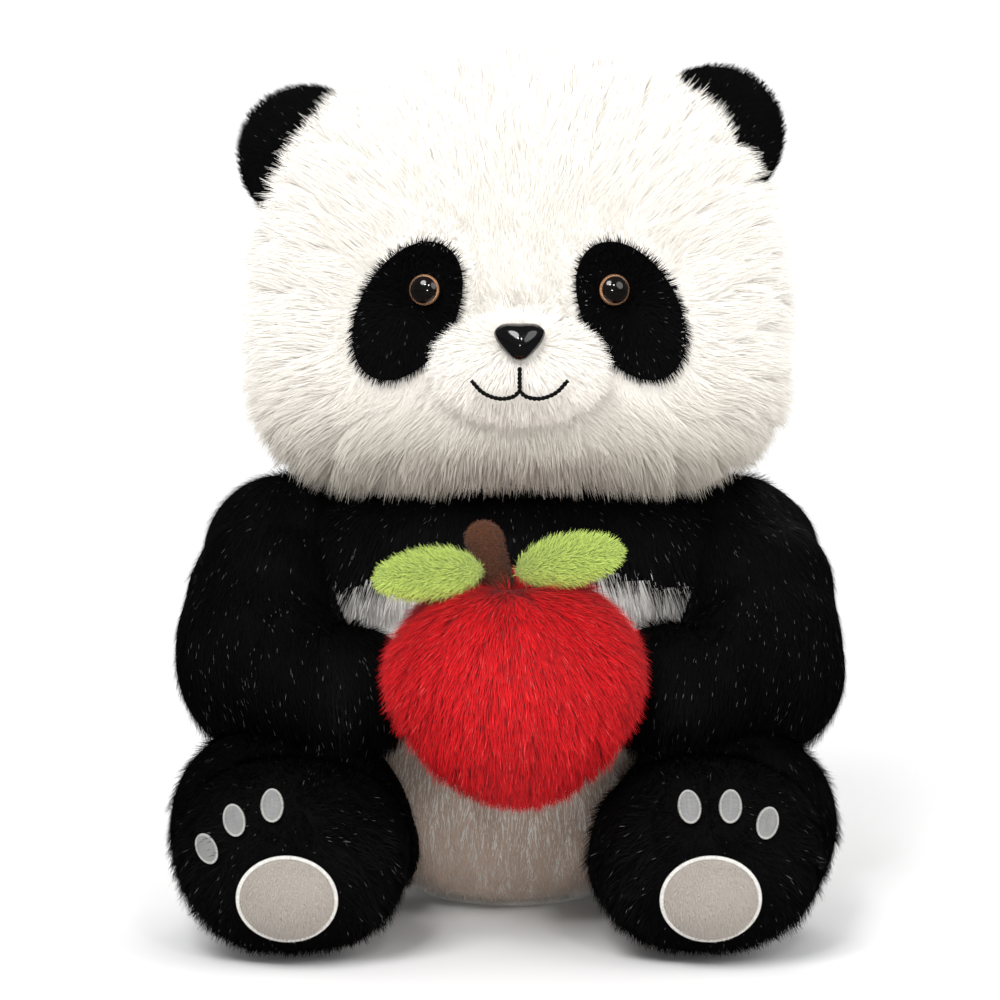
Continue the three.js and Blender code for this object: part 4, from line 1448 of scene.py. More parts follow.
class PANDA_OT_torso(bpy.types.Operator):
    """Make the black chest, the white belly and back, and the flat seat"""

    bl_idname = "panda.torso"
    bl_label = "Torso"

    def execute(self, context):
        sizes = context.scene.panda_sizes
        torso = SHAPE["torso"]
        yoke = Pillow((0, -0.002, 0.127), 0.096, 0.058, 0.058, 0.0375, 0.030, 3.0, 2.0)
        parts = [torso.inset(BLACK_DEPTH + 0.0005).surface(64, 96), yoke.surface(40, 64)]
        whole = skinned("torso", parts, 0.0016, 0.04, 7)
        flatten_below(whole)
        drop_faces(whole, lambda m: limb_depth(m) > 0.012)
        points, normals = skin(whole)
        x, y, z = points.T
        drop = np.tile((0.0, 0.0, -1.0), (len(points), 1))
        away = unit((points - torso.middle) * (1, 1, 0))
        comb = along_surface(drop * 0.9 + away * 0.3, normals) * 0.85
        keep = fade(-limb_depth(points), -0.012, -0.008) * above_floor(points)
        keep *= np.where(z > 0.145, fade(np.hypot(x, y), 0.022, 0.030), 1)
        edge = span("chest_cover")[0][2]
        seam = span("back_cover")[0][1]

        def over_hem(m):
            """How far points are above the chest's lower edge, which falls towards the arms."""
            falls = 0.0080 * fade(np.abs(m[:, 0]), 0.034, 0.066) * fade(-m[:, 1], 0.0, 0.02)
            return m[:, 2] - (edge - falls + 0.0008 * np.sin(m[:, 0] * 420))

        hem = 1 - fade(np.abs(over_hem(points)), 0.0, 0.011)
        above = fade(over_hem(points), -0.0022, 0.0022)
        reach = short_at_floor(points)
        # The lower front of the belly is mixed towards the Tint colour: painted shade, darker
        # towards the bottom of the belly.
        tint = fade(edge - 0.028 - z, 0.0, 0.030) * fade(-y, 0.015, 0.045)
        chest_comb = comb + normals * 0.3 * hem[:, None]
        white = (comb, keep * (1 - above), reach * (1 - 0.45 * hem), tint)
        for name, slot, finish_name, backing, marks, left_out, bare, how in (
            (
                "chest", "black_pile", "black_pile", "black_backing",
                (chest_comb, keep * above, reach * (1 + 1.2 * hem), tint),
                lambda m: over_hem(m) <= 0, lambda m: m[:, 2] < 0, {"seed": 51, "rows": 2},
            ),
            (
                "belly", "white_pile", "belly_pile", "white_backing", white,
                lambda m: (over_hem(m) > 0) | (m[:, 1] > seam), lambda m: m[:, 1] > seam,
                {"seed": 52},
            ),
            (
                "back", "white_pile", "white_pile", "white_backing", white,
                lambda m: (over_hem(m) > 0) | (m[:, 1] <= seam), lambda m: m[:, 1] <= seam,
                {"seed": 53},
            ),
        ):
            part = drop_faces(copy_of(whole, name), left_out)
            bed = drop_faces(mark_pile(copy_of(whole, "pile_bed"), *marks), bare)
            how = flat_pile(sizes, **how)
            plant(bed, f"{name}_pile", "torso", slot, finish_name, **how)
            bpy.data.objects.remove(bed)
            cover(part, name, "torso", slot, backing, f"{name}_cover")
        bpy.data.objects.remove(whole)
        low, high = span("seat_panel")
        middle, half = (low + high) / 2, (high - low) / 2
        points, faces = lathe(SEAT_PROFILE, 72)
        points = points * (half[0], half[1], 1) + (middle[0], middle[1], low[2])
        seat = mesh_object("seat", points, faces, finish("seat_fabric"))
        place_piece(seat, "torso", "seat_fabric", "seat_panel")
        return {"FINISHED"}


class PANDA_OT_tail(bpy.types.Operator):
    """Make the short round tail"""

    bl_idname = "panda.tail"
    bl_label = "Tail"

    def execute(self, context):
        sizes = context.scene.panda_sizes
        tail = SHAPE["tail"]
        bed = mesh_object("tail_bed", *tail.inset(0.005).surface(28, 40))
        drop_faces(bed, lambda m: SHAPE["torso"].inset(0.010).fullness(m) < 1)
        points, normals = skin(bed)
        away = unit(points - tail.middle + (0, 0.012, 0)) + (0, 0.4, -0.5)
        mark_pile(bed, along_surface(away, normals) * 0.7)
        how = {"length": sizes.long_pile * 0.8, "density": sizes.density * 1.2e6}
        how = {**long_pile(sizes, seed=61), **how}
        plant(bed, "tail_pile", "tail", "white_pile", "white_pile", **how)
        sewn = ("tail", "tail", "white_pile", "white_backing", "tail_cover")
        cover(bed, *sewn, thickness=0.001)
        return {"FINISHED"}


ARM_ROUNDS = (
    # the left one's middle; half its size to the side, front, back, up and down; rings, segments
    ((0.088, -0.002, 0.133), (0.0335, 0.034, 0.034, 0.0335, 0.034), 36, 48),
    ((0.0930, -0.020, 0.120), (0.0330, 0.033, 0.034, 0.0330, 0.033), 36, 48),
    ((0.0955, -0.040, 0.094), (0.0325, 0.033, 0.033, 0.0325, 0.0325), 36, 48),
    ((0.060, -0.074, 0.090), (0.026, 0.023, 0.024, 0.0255, 0.024), 32, 40),
)


class PANDA_OT_arms(bpy.types.Operator):
    """Make the bent arms with their long black pile, pressed in where they hold the apple"""

    bl_idname = "panda.arms"
    bl_label = "Arms"

    def execute(self, context):
        sizes = context.scene.panda_sizes
        apple = SHAPE["apple"]
        for name, side in SIDES:
            arm = SHAPE[f"{name}_arm"]
            parts = [arm.surface(BLACK_DEPTH)]
            for (x, y, z), half, rings, segments in ARM_ROUNDS:
                parts.append(Pillow((x * side, y, z), *half).surface(rings, segments))
            bed = skinned(f"{name}_arm_bed", parts, 0.0020, 0.03, 70 + side)
            move_points(bed, apple.inset(-0.0025).push_out(coordinates(bed)))
            points, normals = skin(bed)
            _, along = arm.nearest(points)
            comb = along_surface(along * 0.5 + (0.15 * side, 0, -0.6), normals) * 0.85
            keep = fade(SHAPE["torso"].inset(0.009).fullness(points), 0.97, 1.0)
            keep *= fade(apple.inset(0.001).fullness(points), 1.02, 1.06)
            under = fade(-normals[:, 2], 0.2, 0.8)
            comb[:, 2] -= 0.45 * under
            mark_pile(bed, comb, keep, 1 + 0.45 * under)
            dress_limb(bed, f"{name}_arm", 71 + side, sizes)
        return {"FINISHED"}


THIGH_REACH = 0.0930  # the outer thighs stay inside the arms' width
TOE_HALF, TOE_LONG = 0.0038, 0.0052
FOOT_ROLL = {"left": 12, "right": 34}
TOE_SPREAD = 25
HALF_HIDDEN_TOE = "right_toe_pad_3"


def foot_ovals(name):
    """The pads of a foot: each node with its middle, its half width and height, and its turn."""
    side = 1 if name == "left" else -1
    at, half = oval_place(f"{name}_foot_pad")
    found = [(f"{name}_foot_pad", at, half[0], half[2], 0.0)]
    for index in (1, 2, 3):
        degrees = FOOT_ROLL[name] + (index - 2) * TOE_SPREAD
        node = f"{name}_toe_pad_{index}"
        turn = math.radians(degrees * side * 0.5)
        found.append((node, oval_place(node)[0], TOE_HALF, TOE_LONG, turn))
    return found


def pad_mask(points, name, grow):
    """0 over the sole and toe pads of a foot, 1 away from them."""
    keep = np.ones(len(points))
    front = points[:, 1] < SHAPE[f"{name}_foot"].middle[1]
    for _, at, half_x, half_z, angle in foot_ovals(name):
        oval = tilted(points, at, angle, half_x + grow, half_z + grow)
        keep *= np.where(front, fade(oval, 0.92, 1.05), 1)
    return keep


def pad_reach(points, name):
    """How much of their length strands keep around the pads, so that the pads stay clear."""
    reach = np.ones(len(points))
    for node, at, half_x, half_z, angle in foot_ovals(name):
        if node == HALF_HIDDEN_TOE:
            continue
        clear = 0.007 if "toe" in node else 0.010
        oval = tilted(points, at, angle, half_x, half_z)
        gap = (oval - 1) * min(half_x, half_z)
        reach = np.minimum(reach, 0.30 + 0.70 * fade(gap, 0.0005, clear))
    return reach


class PANDA_OT_legs(bpy.types.Operator):
    """Make the short legs and broad feet with their long black pile"""

    bl_idname = "panda.legs"
    bl_label = "Legs"

    def execute(self, context):
        sizes = context.scene.panda_sizes
        for name, side in SIDES:
            leg, foot = SHAPE[f"{name}_leg"], SHAPE[f"{name}_foot"]
            thigh_x = side * min(abs(foot.middle[0] + 0.017 * side), THIGH_REACH)
            thigh = Pillow((thigh_x, -0.070, 0.040), 0.0350, 0.042, 0.042, 0.0350, 0.038, 2.2)
            hip = Pillow((0.067 * side, -0.046, 0.035), 0.031, 0.034, 0.034, 0.033, 0.033)
            parts = [leg.surface(BLACK_DEPTH), foot.inset(BLACK_DEPTH).surface(40, 56)]
            parts += [thigh.surface(36, 48), hip.surface(32, 44)]
            bed = skinned(f"{name}_leg_bed", parts, 0.0018, 0.03, 80 + side)
            flatten_below(bed)
            points, normals = skin(bed)
            _, along = leg.nearest(points)
            sole, _ = oval_place(f"{name}_foot_pad")
            front = fade(foot.middle[1] - points[:, 1], -0.01, 0.025)[:, None]
            round_sole = unit((points - sole) * (1, 0, 1)) * 0.30 + (0, 0, -0.40)
            field = (along * 0.45 + (0, 0, -0.45)) * (1 - front) + round_sole * front
            comb = along_surface(field, normals) * 0.85
            keep = above_floor(points)
            keep *= fade(SHAPE["torso"].inset(0.010).fullness(points), 0.97, 1.0)
            keep *= pad_mask(points, name, 0.0006)
            reach = short_at_floor(points)
            reach *= np.where(front[:, 0] > 0.3, pad_reach(points, name), 1)
            mark_pile(bed, comb, keep, reach)
            dress_limb(bed, f"{name}_leg", 81 + side, sizes)
        return {"FINISHED"}


def stitched(name, rows, thread, finish_name, body, slot, *nodes, height=0.8):
    """Sews stitches, one for each (middle, run, out, span) row."""
    middles, runs, outs, spans = (np.array(column) for column in zip(*rows))
    bed = mesh_object(name, middles, [])
    set_field(bed, "run", runs, "FLOAT_VECTOR")
    set_field(bed, "out", outs, "FLOAT_VECTOR")
    set_field(bed, "span", spans)
    sewing = {"thread": thread, "height": height, "material": finish(finish_name)}
    run_tree(bed, tree_for("Stitches", stitch_tree), **sewing)
    drop_fields(bed, "run", "out", "span")
    return place_piece(bed, body, slot, *nodes)


def surface_normal(front_at, x, z):
    """The outward direction of a front surface at (x, z)."""
    e = 0.0005
    dx = (front_at(x + e, z) - front_at(x - e, z)) / (2 * e)
    dz = (front_at(x, z + e) - front_at(x, z - e)) / (2 * e)
    out = np.array((dx, -1.0, dz))
    return out / np.linalg.norm(out)


def on_oval(at, half_x, half_z, angle, front_at, turn, rho=1.0, lift=0.0):
    """A place on an oval, with the direction across its edge and the way out."""
    u, v = half_x * rho * math.cos(turn), half_z * rho * math.sin(turn)
    c, s = math.cos(angle), math.sin(angle)
    x, z = at[0] + u * c + v * s, at[2] - u * s + v * c
    out = surface_normal(front_at, x, z)
    across = np.array((u * c + v * s, 0, -u * s + v * c))
    across = across - out * across.dot(out)
    across /= max(np.linalg.norm(across), 1e-9)
    return np.array((x, front_at(x, z), z)) + out * lift, across, out


class PANDA_OT_foot_pads(bpy.types.Operator):
    """Make the velour soles with their satin rims, and the embroidered toes"""

    bl_idname = "panda.foot_pads"
    bl_label = "Foot pads"

    def execute(self, context):
        sizes = context.scene.panda_sizes
        for name, _ in SIDES:
            base = SHAPE[f"{name}_foot"].inset(0.0014)
            for node, *oval in foot_ovals(name):
                make = self.toe if "toe" in node else self.sole
                make(name, node, oval, base.front_at, sizes)
        return {"FINISHED"}

    @staticmethod
    def around(oval, front_at, sizes, span_length, **how):
        """One stitch after another across the edge of an oval."""
        at, half_x, half_z, angle = oval
        length = TURN * math.sqrt((half_x**2 + half_z**2) / 2)
        count = int(length / (sizes.thread * 0.8))
        grow = how.pop("grow", 0.0)
        rows = []
        for k in range(count):
            turn = TURN * k / count
            place = on_oval(at, half_x + grow, half_z + grow, angle, front_at, turn, **how)
            rows.append((*place, span_length))
        return rows

    def sole(self, name, node, oval, front_at, sizes):
        leg, sole = f"{name}_leg", f"{name}_sole"
        points, faces = oval_sheet(*oval, front_at, crown=0.0012, rings=12)
        bed = facing_front(mesh_object(sole, points, faces))
        down = np.tile((0.3, 0.0, -1.0), (len(points), 1))
        mark_pile(bed, along_surface(down, vertex_normals(bed)) * 0.9)
        nap = dict(length=0.0013, width=0.00032, density=7.0e6, stray=0.3, stand=0.6, seed=91)
        nap.update(lock_size=0.004, lock_pull=0.1)
        plant(bed, f"{sole}_nap", leg, "cream_velour", "cream_nap", **nap)
        sewn = (sole, leg, "cream_velour", "cream_velour", node)
        cover(bed, *sewn, thickness=0.0016, fill=0.6)
        rows = self.around(oval, front_at, sizes, 0.0017, grow=0.0002, lift=0.0003)
        rim = (sizes.thread, "rim_thread", leg, "satin_thread", f"{name}_foot_pad_stitching")
        stitched(f"{sole}_rim", rows, *rim, height=1.3)

    def toe(self, name, node, oval, front_at, sizes):
        at, half_x, half_z, angle = oval
        rows = []
        c, s = math.cos(angle), math.sin(angle)
        count = int(2 * half_z / (sizes.thread * 0.75))
        for k in range(count):
            v = half_z * (2 * (k + 0.5) / count - 1) * 0.92
            width = half_x * math.sqrt(max(0.0, 1 - (v / half_z) ** 2)) * 0.86
            for u in (-width / 2, width / 2):
                x, z = at[0] + u * c + v * s, at[2] - u * s + v * c
                out = surface_normal(front_at, x, z)
                across = np.array((c, 0, -s))
                across = across - out * across.dot(out)
                middle = np.array((x, front_at(x, z), z)) + out * 0.0004
                rows.append((middle, across / np.linalg.norm(across), out, width * 1.7))
        edge = self.around(oval, front_at, sizes, 0.0010, rho=0.94, lift=0.0006)
        toe, leg = f"{name}_toe_{node[-1]}", f"{name}_leg"
        for piece, stitches, thread, *nodes in (
            (toe, rows, "satin_thread", node),
            (f"{toe}_outline", edge, "grey_thread"),
        ):
            how = (sizes.thread, thread, leg, "satin_thread", *nodes)
            stitched(piece, stitches, *how, height=1.2)


class PANDA_OT_apple(bpy.types.Operator):
    """Make the red plush apple with its dimple"""

    bl_idname = "panda.apple"
    bl_label = "Apple"

    def execute(self, context):
        sizes = context.scene.panda_sizes
        apple = SHAPE["apple"]
        points, faces = apple.inset(0.0036).surface(56, 80)
        q = points - apple.middle
        low = np.clip(-q[:, 2] / apple.down, 0, 1)
        q[:, 2] = np.where(q[:, 2] < 0, -apple.down * 0.97 * (1 - (1 - low) ** 1.22), q[:, 2])
        narrow = 1 - 0.27 * fade(-q[:, 2], -0.014, apple.down)
        q[:, 2] += 0.0045 * fade(q[:, 2], 0.0, apple.up)
        q[:, :2] *= narrow[:, None]
        ring = np.hypot(q[:, 0], q[:, 1])
        q[:, 2] -= np.where(q[:, 2] > 0, 0.008 * np.exp(-((ring / 0.011) ** 2)), 0)
        bed = mesh_object("apple_bed", q + apple.middle, faces)
        lumpy(bed, 0.0012, 0.03, 9)
        points, normals = skin(bed)
        whorl = apple.middle + (-0.003, -0.012, 0.040)
        away = points - whorl
        comb = along_surface(unit(away) + (0, 0, -0.08), normals) * 0.95
        comb *= fade(np.linalg.norm(away, axis=1), 0.0, 0.006)[:, None]
        low = fade(apple.middle[2] - points[:, 2], 0.0, 0.04)
        from_stem = np.hypot(*(points - apple.middle)[:, :2].T)
        in_dimple = (1 - fade(from_stem, 0.004, 0.011)) * (points[:, 2] > apple.middle[2])
        # The lower apple is mixed towards the Tint colour: painted shade, a darker red towards its
        # underside.
        mark_pile(bed, comb, 1.0, 1 - 0.35 * in_dimple, low * 0.35)
        length = sizes.apple_pile
        how = close_pile(sizes, length, 0.76, 2.35, 101, 0.007, 0.22, 0.15, 0.40, softness=0.7)
        plant(bed, "apple_pile", "apple", "red_pile", "red_pile", **how)
        cover(bed, "apple", "apple", "red_pile", "red_backing", "apple_cover")
        return {"FINISHED"}


STEM_HALF, STEM_RISE, STEM_LEAN = 0.0068, 0.018, math.radians(-16)
WAIST_STEPS, TIP_STEPS = 11, 9


class PANDA_OT_stem(bpy.types.Operator):
    """Make the flattened felt stem, leaning to one side"""

    bl_idname = "panda.stem"
    bl_label = "Stem"

    def execute(self, context):
        low, high = span("apple_stem")
        half = STEM_HALF
        axis = np.array((math.sin(STEM_LEAN), 0, math.cos(STEM_LEAN)))
        tip = np.array((low[0] + half - 0.001, (low[1] + high[1]) / 2, high[2] - half - 0.001))
        foot = tip - axis * STEM_RISE
        profile = [(0.25, -half), (0.7, -half * 0.85), (0.92, -half * 0.5), (0.94, 0.0)]
        rise = float(np.linalg.norm(tip - foot))
        for k in range(1, WAIST_STEPS + 1):
            waist = 0.04 * math.sin(math.pi * k / WAIST_STEPS)
            profile.append((0.94 + 0.06 * k / WAIST_STEPS - waist, rise * k / WAIST_STEPS))
        for step in range(1, TIP_STEPS):
            angle = math.pi / 2 * step / TIP_STEPS
            profile.append((math.cos(angle), rise + half * math.sin(angle)))
        points, faces = lathe([(r * half * 0.97, h) for r, h in profile], 44)
        points = points * (1.0, 0.5, 1.0)
        x_axis = np.array((math.cos(STEM_LEAN), 0, -math.sin(STEM_LEAN)))
        placed = foot + points[:, :1] * x_axis + points[:, 1:2] * (0, 1, 0) + points[:, 2:] * axis
        bed = outward(mesh_object("stem", placed, faces))
        normals = vertex_normals(bed)
        comb = along_surface(np.tile(axis, (len(placed), 1)), normals) * 0.5
        mark_pile(bed, comb)
        nap = dict(length=0.0014, width=0.00026, density=9.0e6, stray=0.9, stand=0.5, seed=111)
        nap.update(lock_size=0.003, lock_pull=0.2)
        plant(bed, "stem_nap", "apple", "brown_felt", "brown_nap", **nap)
        place_piece(wear(bed, "brown_felt"), "apple", "brown_felt", "apple_stem", fill=1.0)
        return {"FINISHED"}


LEAF_LONG, LEAF_WIDE, LEAF_FOLD, LEAF_THICK = 0.0190, 0.0092, 0.0034, 0.0022
LEAF_LEAN = math.radians(33)


def leaf_blade(node, side, rise):
    """A pointed leaf folded along its middle: points and faces of one side of the cloth."""
    low, high = span(node)
    middle = (low + high) / 2
    tip_up = math.radians(rise) * side
    points, count, across = [], 33, 17
    for i in range(count):
        u = 2 * i / (count - 1) - 1
        outline = max(0.0, 1 - abs(u) ** 2.3) ** 0.72 * (1 - 0.14 * u)
        for j in range(across):
            v = 2 * j / (across - 1) - 1
            fold = LEAF_FOLD * (1 - abs(v)) * outline
            local = (u * LEAF_LONG, v * LEAF_WIDE * outline, -fold + 0.0012 * u * u)
            turn = math.pi / 2 - LEAF_LEAN
            up = local[1] * math.sin(turn) - local[2] * math.cos(turn)
            deep = local[1] * math.cos(turn) + local[2] * math.sin(turn)
            x = side * local[0] * math.cos(tip_up) - up * math.sin(tip_up)
            z = side * local[0] * math.sin(tip_up) + up * math.cos(tip_up)
            points.append(middle + (x, deep, z))
    faces = []
    for i in range(count - 1):
        for j in range(across - 1):
            a = i * across + j
            faces.append((a, a + 1, a + across + 1, a + across))
    return np.array(points), faces


class PANDA_OT_leaves(bpy.types.Operator):
    """Make the two folded green leaves"""

    bl_idname = "panda.leaves"
    bl_label = "Leaves"

    def execute(self, context):
        sizes = context.scene.panda_sizes
        for name, side, rise in (("left", 1, 12), ("right", -1, -5)):
            node = f"apple_leaf_{name}"
            points, faces = leaf_blade(node, side, rise)
            sheet = mesh_object(f"{name}_leaf_blade", points, faces)
            outward(give_thickness(sheet, LEAF_THICK, offset=0))
            points, normals = skin(sheet)
            tip_up = math.radians(rise) * side
            axis = np.array((side * math.cos(tip_up), 0, side * math.sin(tip_up)))
            from_middle = points - points.mean(axis=0)
            beside = from_middle - np.outer(from_middle @ axis, axis)
            from_fold = np.linalg.norm(beside, axis=1)
            field = axis * 0.75 + unit(beside) * (0.45 * fade(from_fold, 0.0, 0.003))[:, None]
            low = fade(points[:, 2].mean() - points[:, 2], 0.002, 0.010)
            short = 0.45 + 0.55 * fade(from_fold, 0.0008, 0.0035)
            mark_pile(sheet, along_surface(field, normals) * 0.8, 1.0, short, low * 0.6)
            how = close_pile(sizes, 0.0032, 0.8, 4.5, 121 + side, 0.003, 0.2, 0.35, 0.55)
            leaf = f"{name}_leaf"
            plant(sheet, f"{leaf}_pile", leaf, "green_pile", "green_pile", **how)
            place_piece(wear(sheet, "green_backing"), leaf, "green_pile", node, fill=0.7)
        return {"FINISHED"}


FILLINGS = {
    # body: (node, voxel, how far it is drawn in)
    "head": (("head_stuffing", 0.0060, 0.0085), ("muzzle_stuffing", 0.0020, 0.0028)),
    "left_ear": (("left_ear_padding", 0.0012, 0.0006),),
    "right_ear": (("right_ear_padding", 0.0012, 0.0006),),
    "neck": (("neck_stuffing", 0.0050, 0.0120),),
    "torso": (("torso_stuffing", 0.0060, 0.0085),),
    "tail": (("tail_stuffing", 0.0016, 0.0035),),
    "left_arm": (("left_arm_stuffing", 0.0050, 0.0110),),
    "right_arm": (("right_arm_stuffing", 0.0050, 0.0110),),
    "left_leg": (("left_leg_stuffing", 0.0050, 0.0085),),
    "right_leg": (("right_leg_stuffing", 0.0050, 0.0085),),
    "apple": (("apple_stuffing", 0.0045, 0.0060),),
}


class PANDA_OT_fillings(bpy.types.Operator):
    """Make the lumps of fibre filling inside the covers"""

    bl_idname = "panda.fillings"
    bl_label = "Fillings"

    def execute(self, context):
        for body, lumps in FILLINGS.items():
            for node, voxel, drawn_in in lumps:
                name = node.replace("_stuffing", "_filling").replace("_padding", "_wadding")
                lump = copy_of(frame["nodes"][node], name)
                lump.parent = None
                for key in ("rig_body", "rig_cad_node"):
                    if key in lump:
                        del lump[key]
                remeshed(outward(lump), voxel, rounds=4)
                move_points(lump, coordinates(lump) - vertex_normals(lump) * drawn_in)
                lumpy(lump, drawn_in * 0.3, 0.012, 5)
                place_piece(wear(lump, "filling"), body, "filling", node, fill=0.9)
        return {"FINISHED"}


CORD_RADIUS, CORD_PITCH, SEAM_STEP = 0.0019, 0.009, 0.0045


class PANDA_OT_threads(bpy.types.Operator):
    """Sew the neck seam cord and the closing stitches down the back"""

    bl_idname = "panda.threads"
    bl_label = "Threads"

    def execute(self, context):
        sizes = context.scene.panda_sizes
        low, high = span("neck_seam_cord")
        middle = (low + high) / 2
        radius = (high[0] - low[0]) / 2 - 0.0022
        turns = np.linspace(0, TURN, 241)
        loop = middle + np.stack([np.cos(turns), np.sin(turns), turns * 0], 1) * radius
        cord = mesh_object("neck_cord", *twisted(loop, CORD_RADIUS, CORD_PITCH, 3, 8))
        wear(outward(cord), "black_thread")
        place_piece(cord, "neck", "black_thread", "neck_seam_cord")
        low, high = span("back_seam_thread")
        torso = SHAPE["torso"]
        rows = []
        count = int((high[2] - low[2]) / SEAM_STEP)
        for k in range(count):
            z = low[2] + (high[2] - low[2]) * (k + 0.5) / count
            rise = (z - torso.middle[2]) / torso.up
            y = torso.back * (1 - abs(rise) ** torso.top) ** (1 / torso.top)
            rows.append(((0.0, y - 0.0024, z), (1.0, 0.0, 0.55), (0.0, 1.0, 0.0), 0.0042))
        how = (sizes.thread * 1.6, "rim_thread", "torso", "satin_thread", "back_seam_thread")
        stitched("back_seam", rows, *how)
        for node in ("nose_washer", "left_eye_washer", "right_eye_washer"):
            for slot in frame["nodes"][node].material_slots:
                slot.material = finish("washer_plastic")
        return {"FINISHED"}


SENSOR, FLOOR_HALF, PAPER_WHITE = 36, 6, 1.05
GLOSSY_SHARE = 0.15  # how much of the light from all round shows in glossy things


def light_from(tree, kind, strength):
    return add(tree, kind, {"Color": (1, 1, 1, 1), "Strength": strength}).outputs[0]


def either(tree, factor, first, second):
    return add(tree, "ShaderNodeMixShader", {0: factor, 1: first, 2: second}).outputs[0]


class PANDA_OT_stage(bpy.types.Operator):
    """Set up the pale floor, the soft lights and the camera"""

    bl_idname = "panda.stage"
    bl_label = "Stage"

    def execute(self, context):
        stage = context.scene.panda_stage
        scene = context.scene
        scene.view_settings.view_transform = "Standard"
        aim = Vector(stage.aim)
        rise = stage.elevation
        camera_data = bpy.data.cameras.new("camera")
        camera_data.lens = stage.lens
        camera_data.sensor_width = SENSOR
        camera = bpy.data.objects.new("camera", camera_data)
        camera.location = aim + Vector((0, -math.cos(rise), math.sin(rise))) * stage.distance
        camera.rotation_euler = (math.pi / 2 - rise, 0, 0)
        scene.collection.objects.link(camera)
        scene.camera = camera

        signs = ((-1, -1), (1, -1), (1, 1), (-1, 1))
        corners = [(a * FLOOR_HALF, b * FLOOR_HALF, 0) for a, b in signs]
        floor = mesh_object("floor", corners, [(0, 1, 2, 3)])
        material, tree, shader = material_with("Floor", (0.93, 0.93, 0.93), Roughness=0.9)
        place = add(tree, "ShaderNodeTexCoord").outputs["Object"]
        length = {"operation": "LENGTH"}
        far = add(tree, "ShaderNodeVectorMath", {0: place}, **length).outputs["Value"]
        glow = light_from(tree, "ShaderNodeEmission", PAPER_WHITE)
        shade = add(tree, "ShaderNodeBsdfDiffuse", {"Color": (0.05, 0.05, 0.05, 1)}).outputs[0]
        pale = either(tree, ramp(tree, far, 0.16, 0.75), shader.outputs[0], glow)
        rays = add(tree, "ShaderNodeLightPath").outputs
        ground = next(node for node in tree.nodes if node.type == "OUTPUT_MATERIAL")
        tree.links.new(either(tree, rays["Is Glossy Ray"], pale, shade), ground.inputs[0])
        floor.data.materials.append(material)

        world = bpy.data.worlds.new("Studio")
        scene.world = world
        world.use_nodes = True
        tree = world.node_tree
        tree.nodes.clear()
        seen, lit, dim = (
            light_from(tree, "ShaderNodeBackground", strength)
            for strength in (PAPER_WHITE, stage.ambient, stage.ambient * GLOSSY_SHARE)
        )
        rays = add(tree, "ShaderNodeLightPath").outputs
        around = either(tree, rays["Is Glossy Ray"], lit, dim)
        ground = tree.nodes.new("ShaderNodeOutputWorld")
        tree.links.new(either(tree, rays["Is Camera Ray"], around, seen), ground.inputs[0])

        for name, place, size, power in (
            ("key", (-0.55, -1.15, 1.25), 0.9, stage.key),
            ("fill", (1.1, -0.9, 0.7), 1.1, stage.key * 0.35),
            ("rear", (0.3, 1.2, 1.2), 1.2, stage.key * 0.4),
            ("spark_left", (-0.22, -1.1, 0.75), 0.13, stage.spark),
            ("spark_right", (0.26, -1.1, 0.66), 0.13, stage.spark),
            ("spark_low", (0.05, -1.2, 0.02), 0.10, stage.spark * 0.6),
        ):
            lamp_data = bpy.data.lights.new(name, "AREA")
            lamp_data.shape = "DISK"
            lamp_data.size = size
            lamp_data.energy = power
            lamp = bpy.data.objects.new(name, lamp_data)
            lamp.location = aim + Vector(place)
            lamp.rotation_euler = (aim - lamp.location).to_track_quat("-Z", "Y").to_euler()
            scene.collection.objects.link(lamp)
        return {"FINISHED"}


def number_property(name, description, default, unit="NONE"):
    return FloatProperty(name=name, description=description, default=default, min=0, unit=unit)


def length_property(name, description, default):
    return number_property(name, description, default, "LENGTH")


def colour_property(name, description, default):
    return FloatVectorProperty(
        name=name, description=description, default=default, min=0, max=1, size=3, subtype="COLOR"
    )


class PandaSizes(bpy.types.PropertyGroup):
    """Sizes of the pile and the thread"""

    long_pile: length_property("Long pile", "Length of the strands on the head", 0.0105)
    flat_pile: length_property("Flat pile", "Length of the strands on the body and limbs", 0.0056)
    short_pile: length_property("Short pile", "Length of the strands on the muzzle", 0.0055)
    apple_pile: length_property("Apple pile", "Length of the strands on the apple", 0.0070)
    strand: length_property("Strand width", "Width of a strand at its root", 0.00034)
    thread: length_property("Thread", "Thickness of the satin thread", 0.00055)
    density: number_property("Strands", "Strands of pile on each square millimetre", 0.92)


class PandaColours(bpy.types.PropertyGroup):
    """Colours of the cloths and threads"""

    white: colour_property("White pile", "Head, muzzle and back", (0.88, 0.85, 0.80))
    # Darker and greyer than the white pile: painted shade on the belly.
    belly: colour_property("Belly pile", "Front of the belly", (0.80, 0.78, 0.75))
    black: colour_property("Black pile", "Ears, patches, chest and limbs", (0.0022, 0.0022, 0.0025))
    red: colour_property("Apple red", "Pile of the apple", (0.53, 0.005, 0.009))
    green: colour_property("Leaf green", "Pile of the leaves", (0.42, 0.54, 0.11))
    brown: colour_property("Stem brown", "Felt of the stem", (0.095, 0.030, 0.010))
    cream: colour_property("Sole cream", "Velour of the soles", (0.40, 0.36, 0.32))
    rim: colour_property("Sole rim", "Thread around the soles and toes", (0.80, 0.78, 0.74))
    satin: colour_property("Toe silver", "Thread of the toes", (0.27, 0.27, 0.27))
    copper: colour_property("Eye copper", "Ring in the eyes", (0.80, 0.42, 0.22))


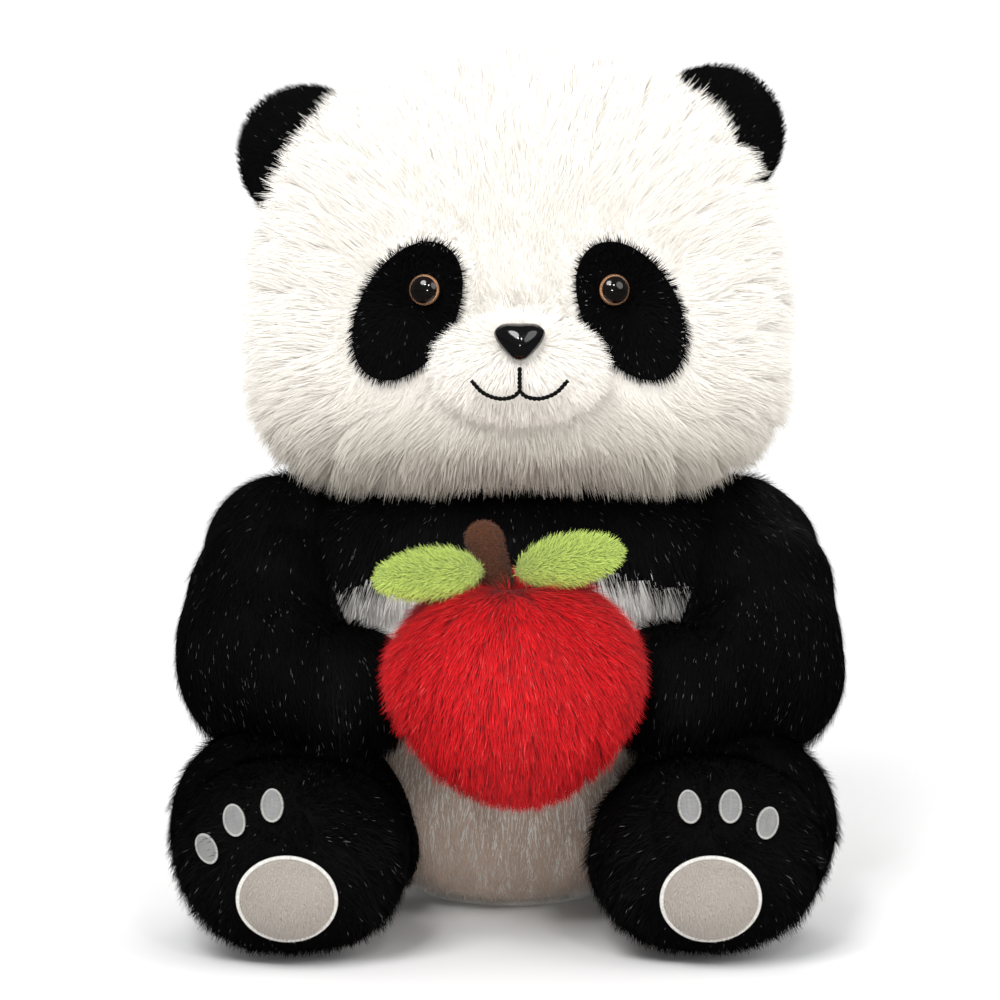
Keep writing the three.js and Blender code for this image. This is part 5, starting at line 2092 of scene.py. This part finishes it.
class PandaStage(bpy.types.PropertyGroup):
    """Camera and light"""

    aim: FloatVectorProperty(
        name="Aim", description="Where the camera looks", default=(-0.0041, -0.06, 0.161),
        size=3, subtype="TRANSLATION",
    )
    distance: length_property("Distance", "From the camera to where it looks", 1.18)
    elevation: number_property(
        "Elevation", "How far the camera looks down", math.radians(5), "ROTATION"
    )
    lens: FloatProperty(name="Lens", description="Focal length in mm", default=113.3, min=1)
    ambient: number_property("Ambient", "Strength of the light from all round", 0.65)
    spark: number_property("Sparks", "Power of each small lamp", 2.2, "POWER")
    key: number_property("Key light", "Power of the main lamp", 19.0, "POWER")


PIECES = (
    PANDA_OT_stage,
    PANDA_OT_head,
    PANDA_OT_muzzle,
    PANDA_OT_mouth,
    PANDA_OT_eyes,
    PANDA_OT_nose,
    PANDA_OT_eye_patches,
    PANDA_OT_ears,
    PANDA_OT_torso,
    PANDA_OT_tail,
    PANDA_OT_arms,
    PANDA_OT_legs,
    PANDA_OT_foot_pads,
    PANDA_OT_apple,
    PANDA_OT_stem,
    PANDA_OT_leaves,
    PANDA_OT_fillings,
    PANDA_OT_threads,
)


class PANDA_PT_panel(bpy.types.Panel):
    """Lists the pieces of the plush panda"""

    bl_label = "Plush panda"
    bl_idname = "PANDA_PT_panel"
    bl_space_type = "VIEW_3D"
    bl_region_type = "UI"
    bl_category = "Panda"

    def draw(self, context):
        for piece in PIECES:
            self.layout.operator(piece.bl_idname)
        for name in GROUPS:
            group = getattr(context.scene, name)
            for key in group.bl_rna.properties.keys():
                if key not in ("rna_type", "name"):
                    self.layout.prop(group, key)


GROUPS = {"panda_sizes": PandaSizes, "panda_colours": PandaColours, "panda_stage": PandaStage}
CLASSES = (*GROUPS.values(), *PIECES, PANDA_PT_panel)


def register():
    for kind in CLASSES:
        bpy.utils.register_class(kind)
    for name, kind in GROUPS.items():
        setattr(bpy.types.Scene, name, PointerProperty(type=kind))


def unregister():
    for name in GROUPS:
        delattr(bpy.types.Scene, name)
    for kind in reversed(CLASSES):
        bpy.utils.unregister_class(kind)


def main():
    register()
    SHAPE.update(shapes())
    for piece in PIECES:
        name = piece.bl_idname.split(".")[1]
        if getattr(bpy.ops.panda, name)() != {"FINISHED"}:
            raise RuntimeError(f"{piece.bl_label} was not made")


if __name__ == "__main__":
    main()
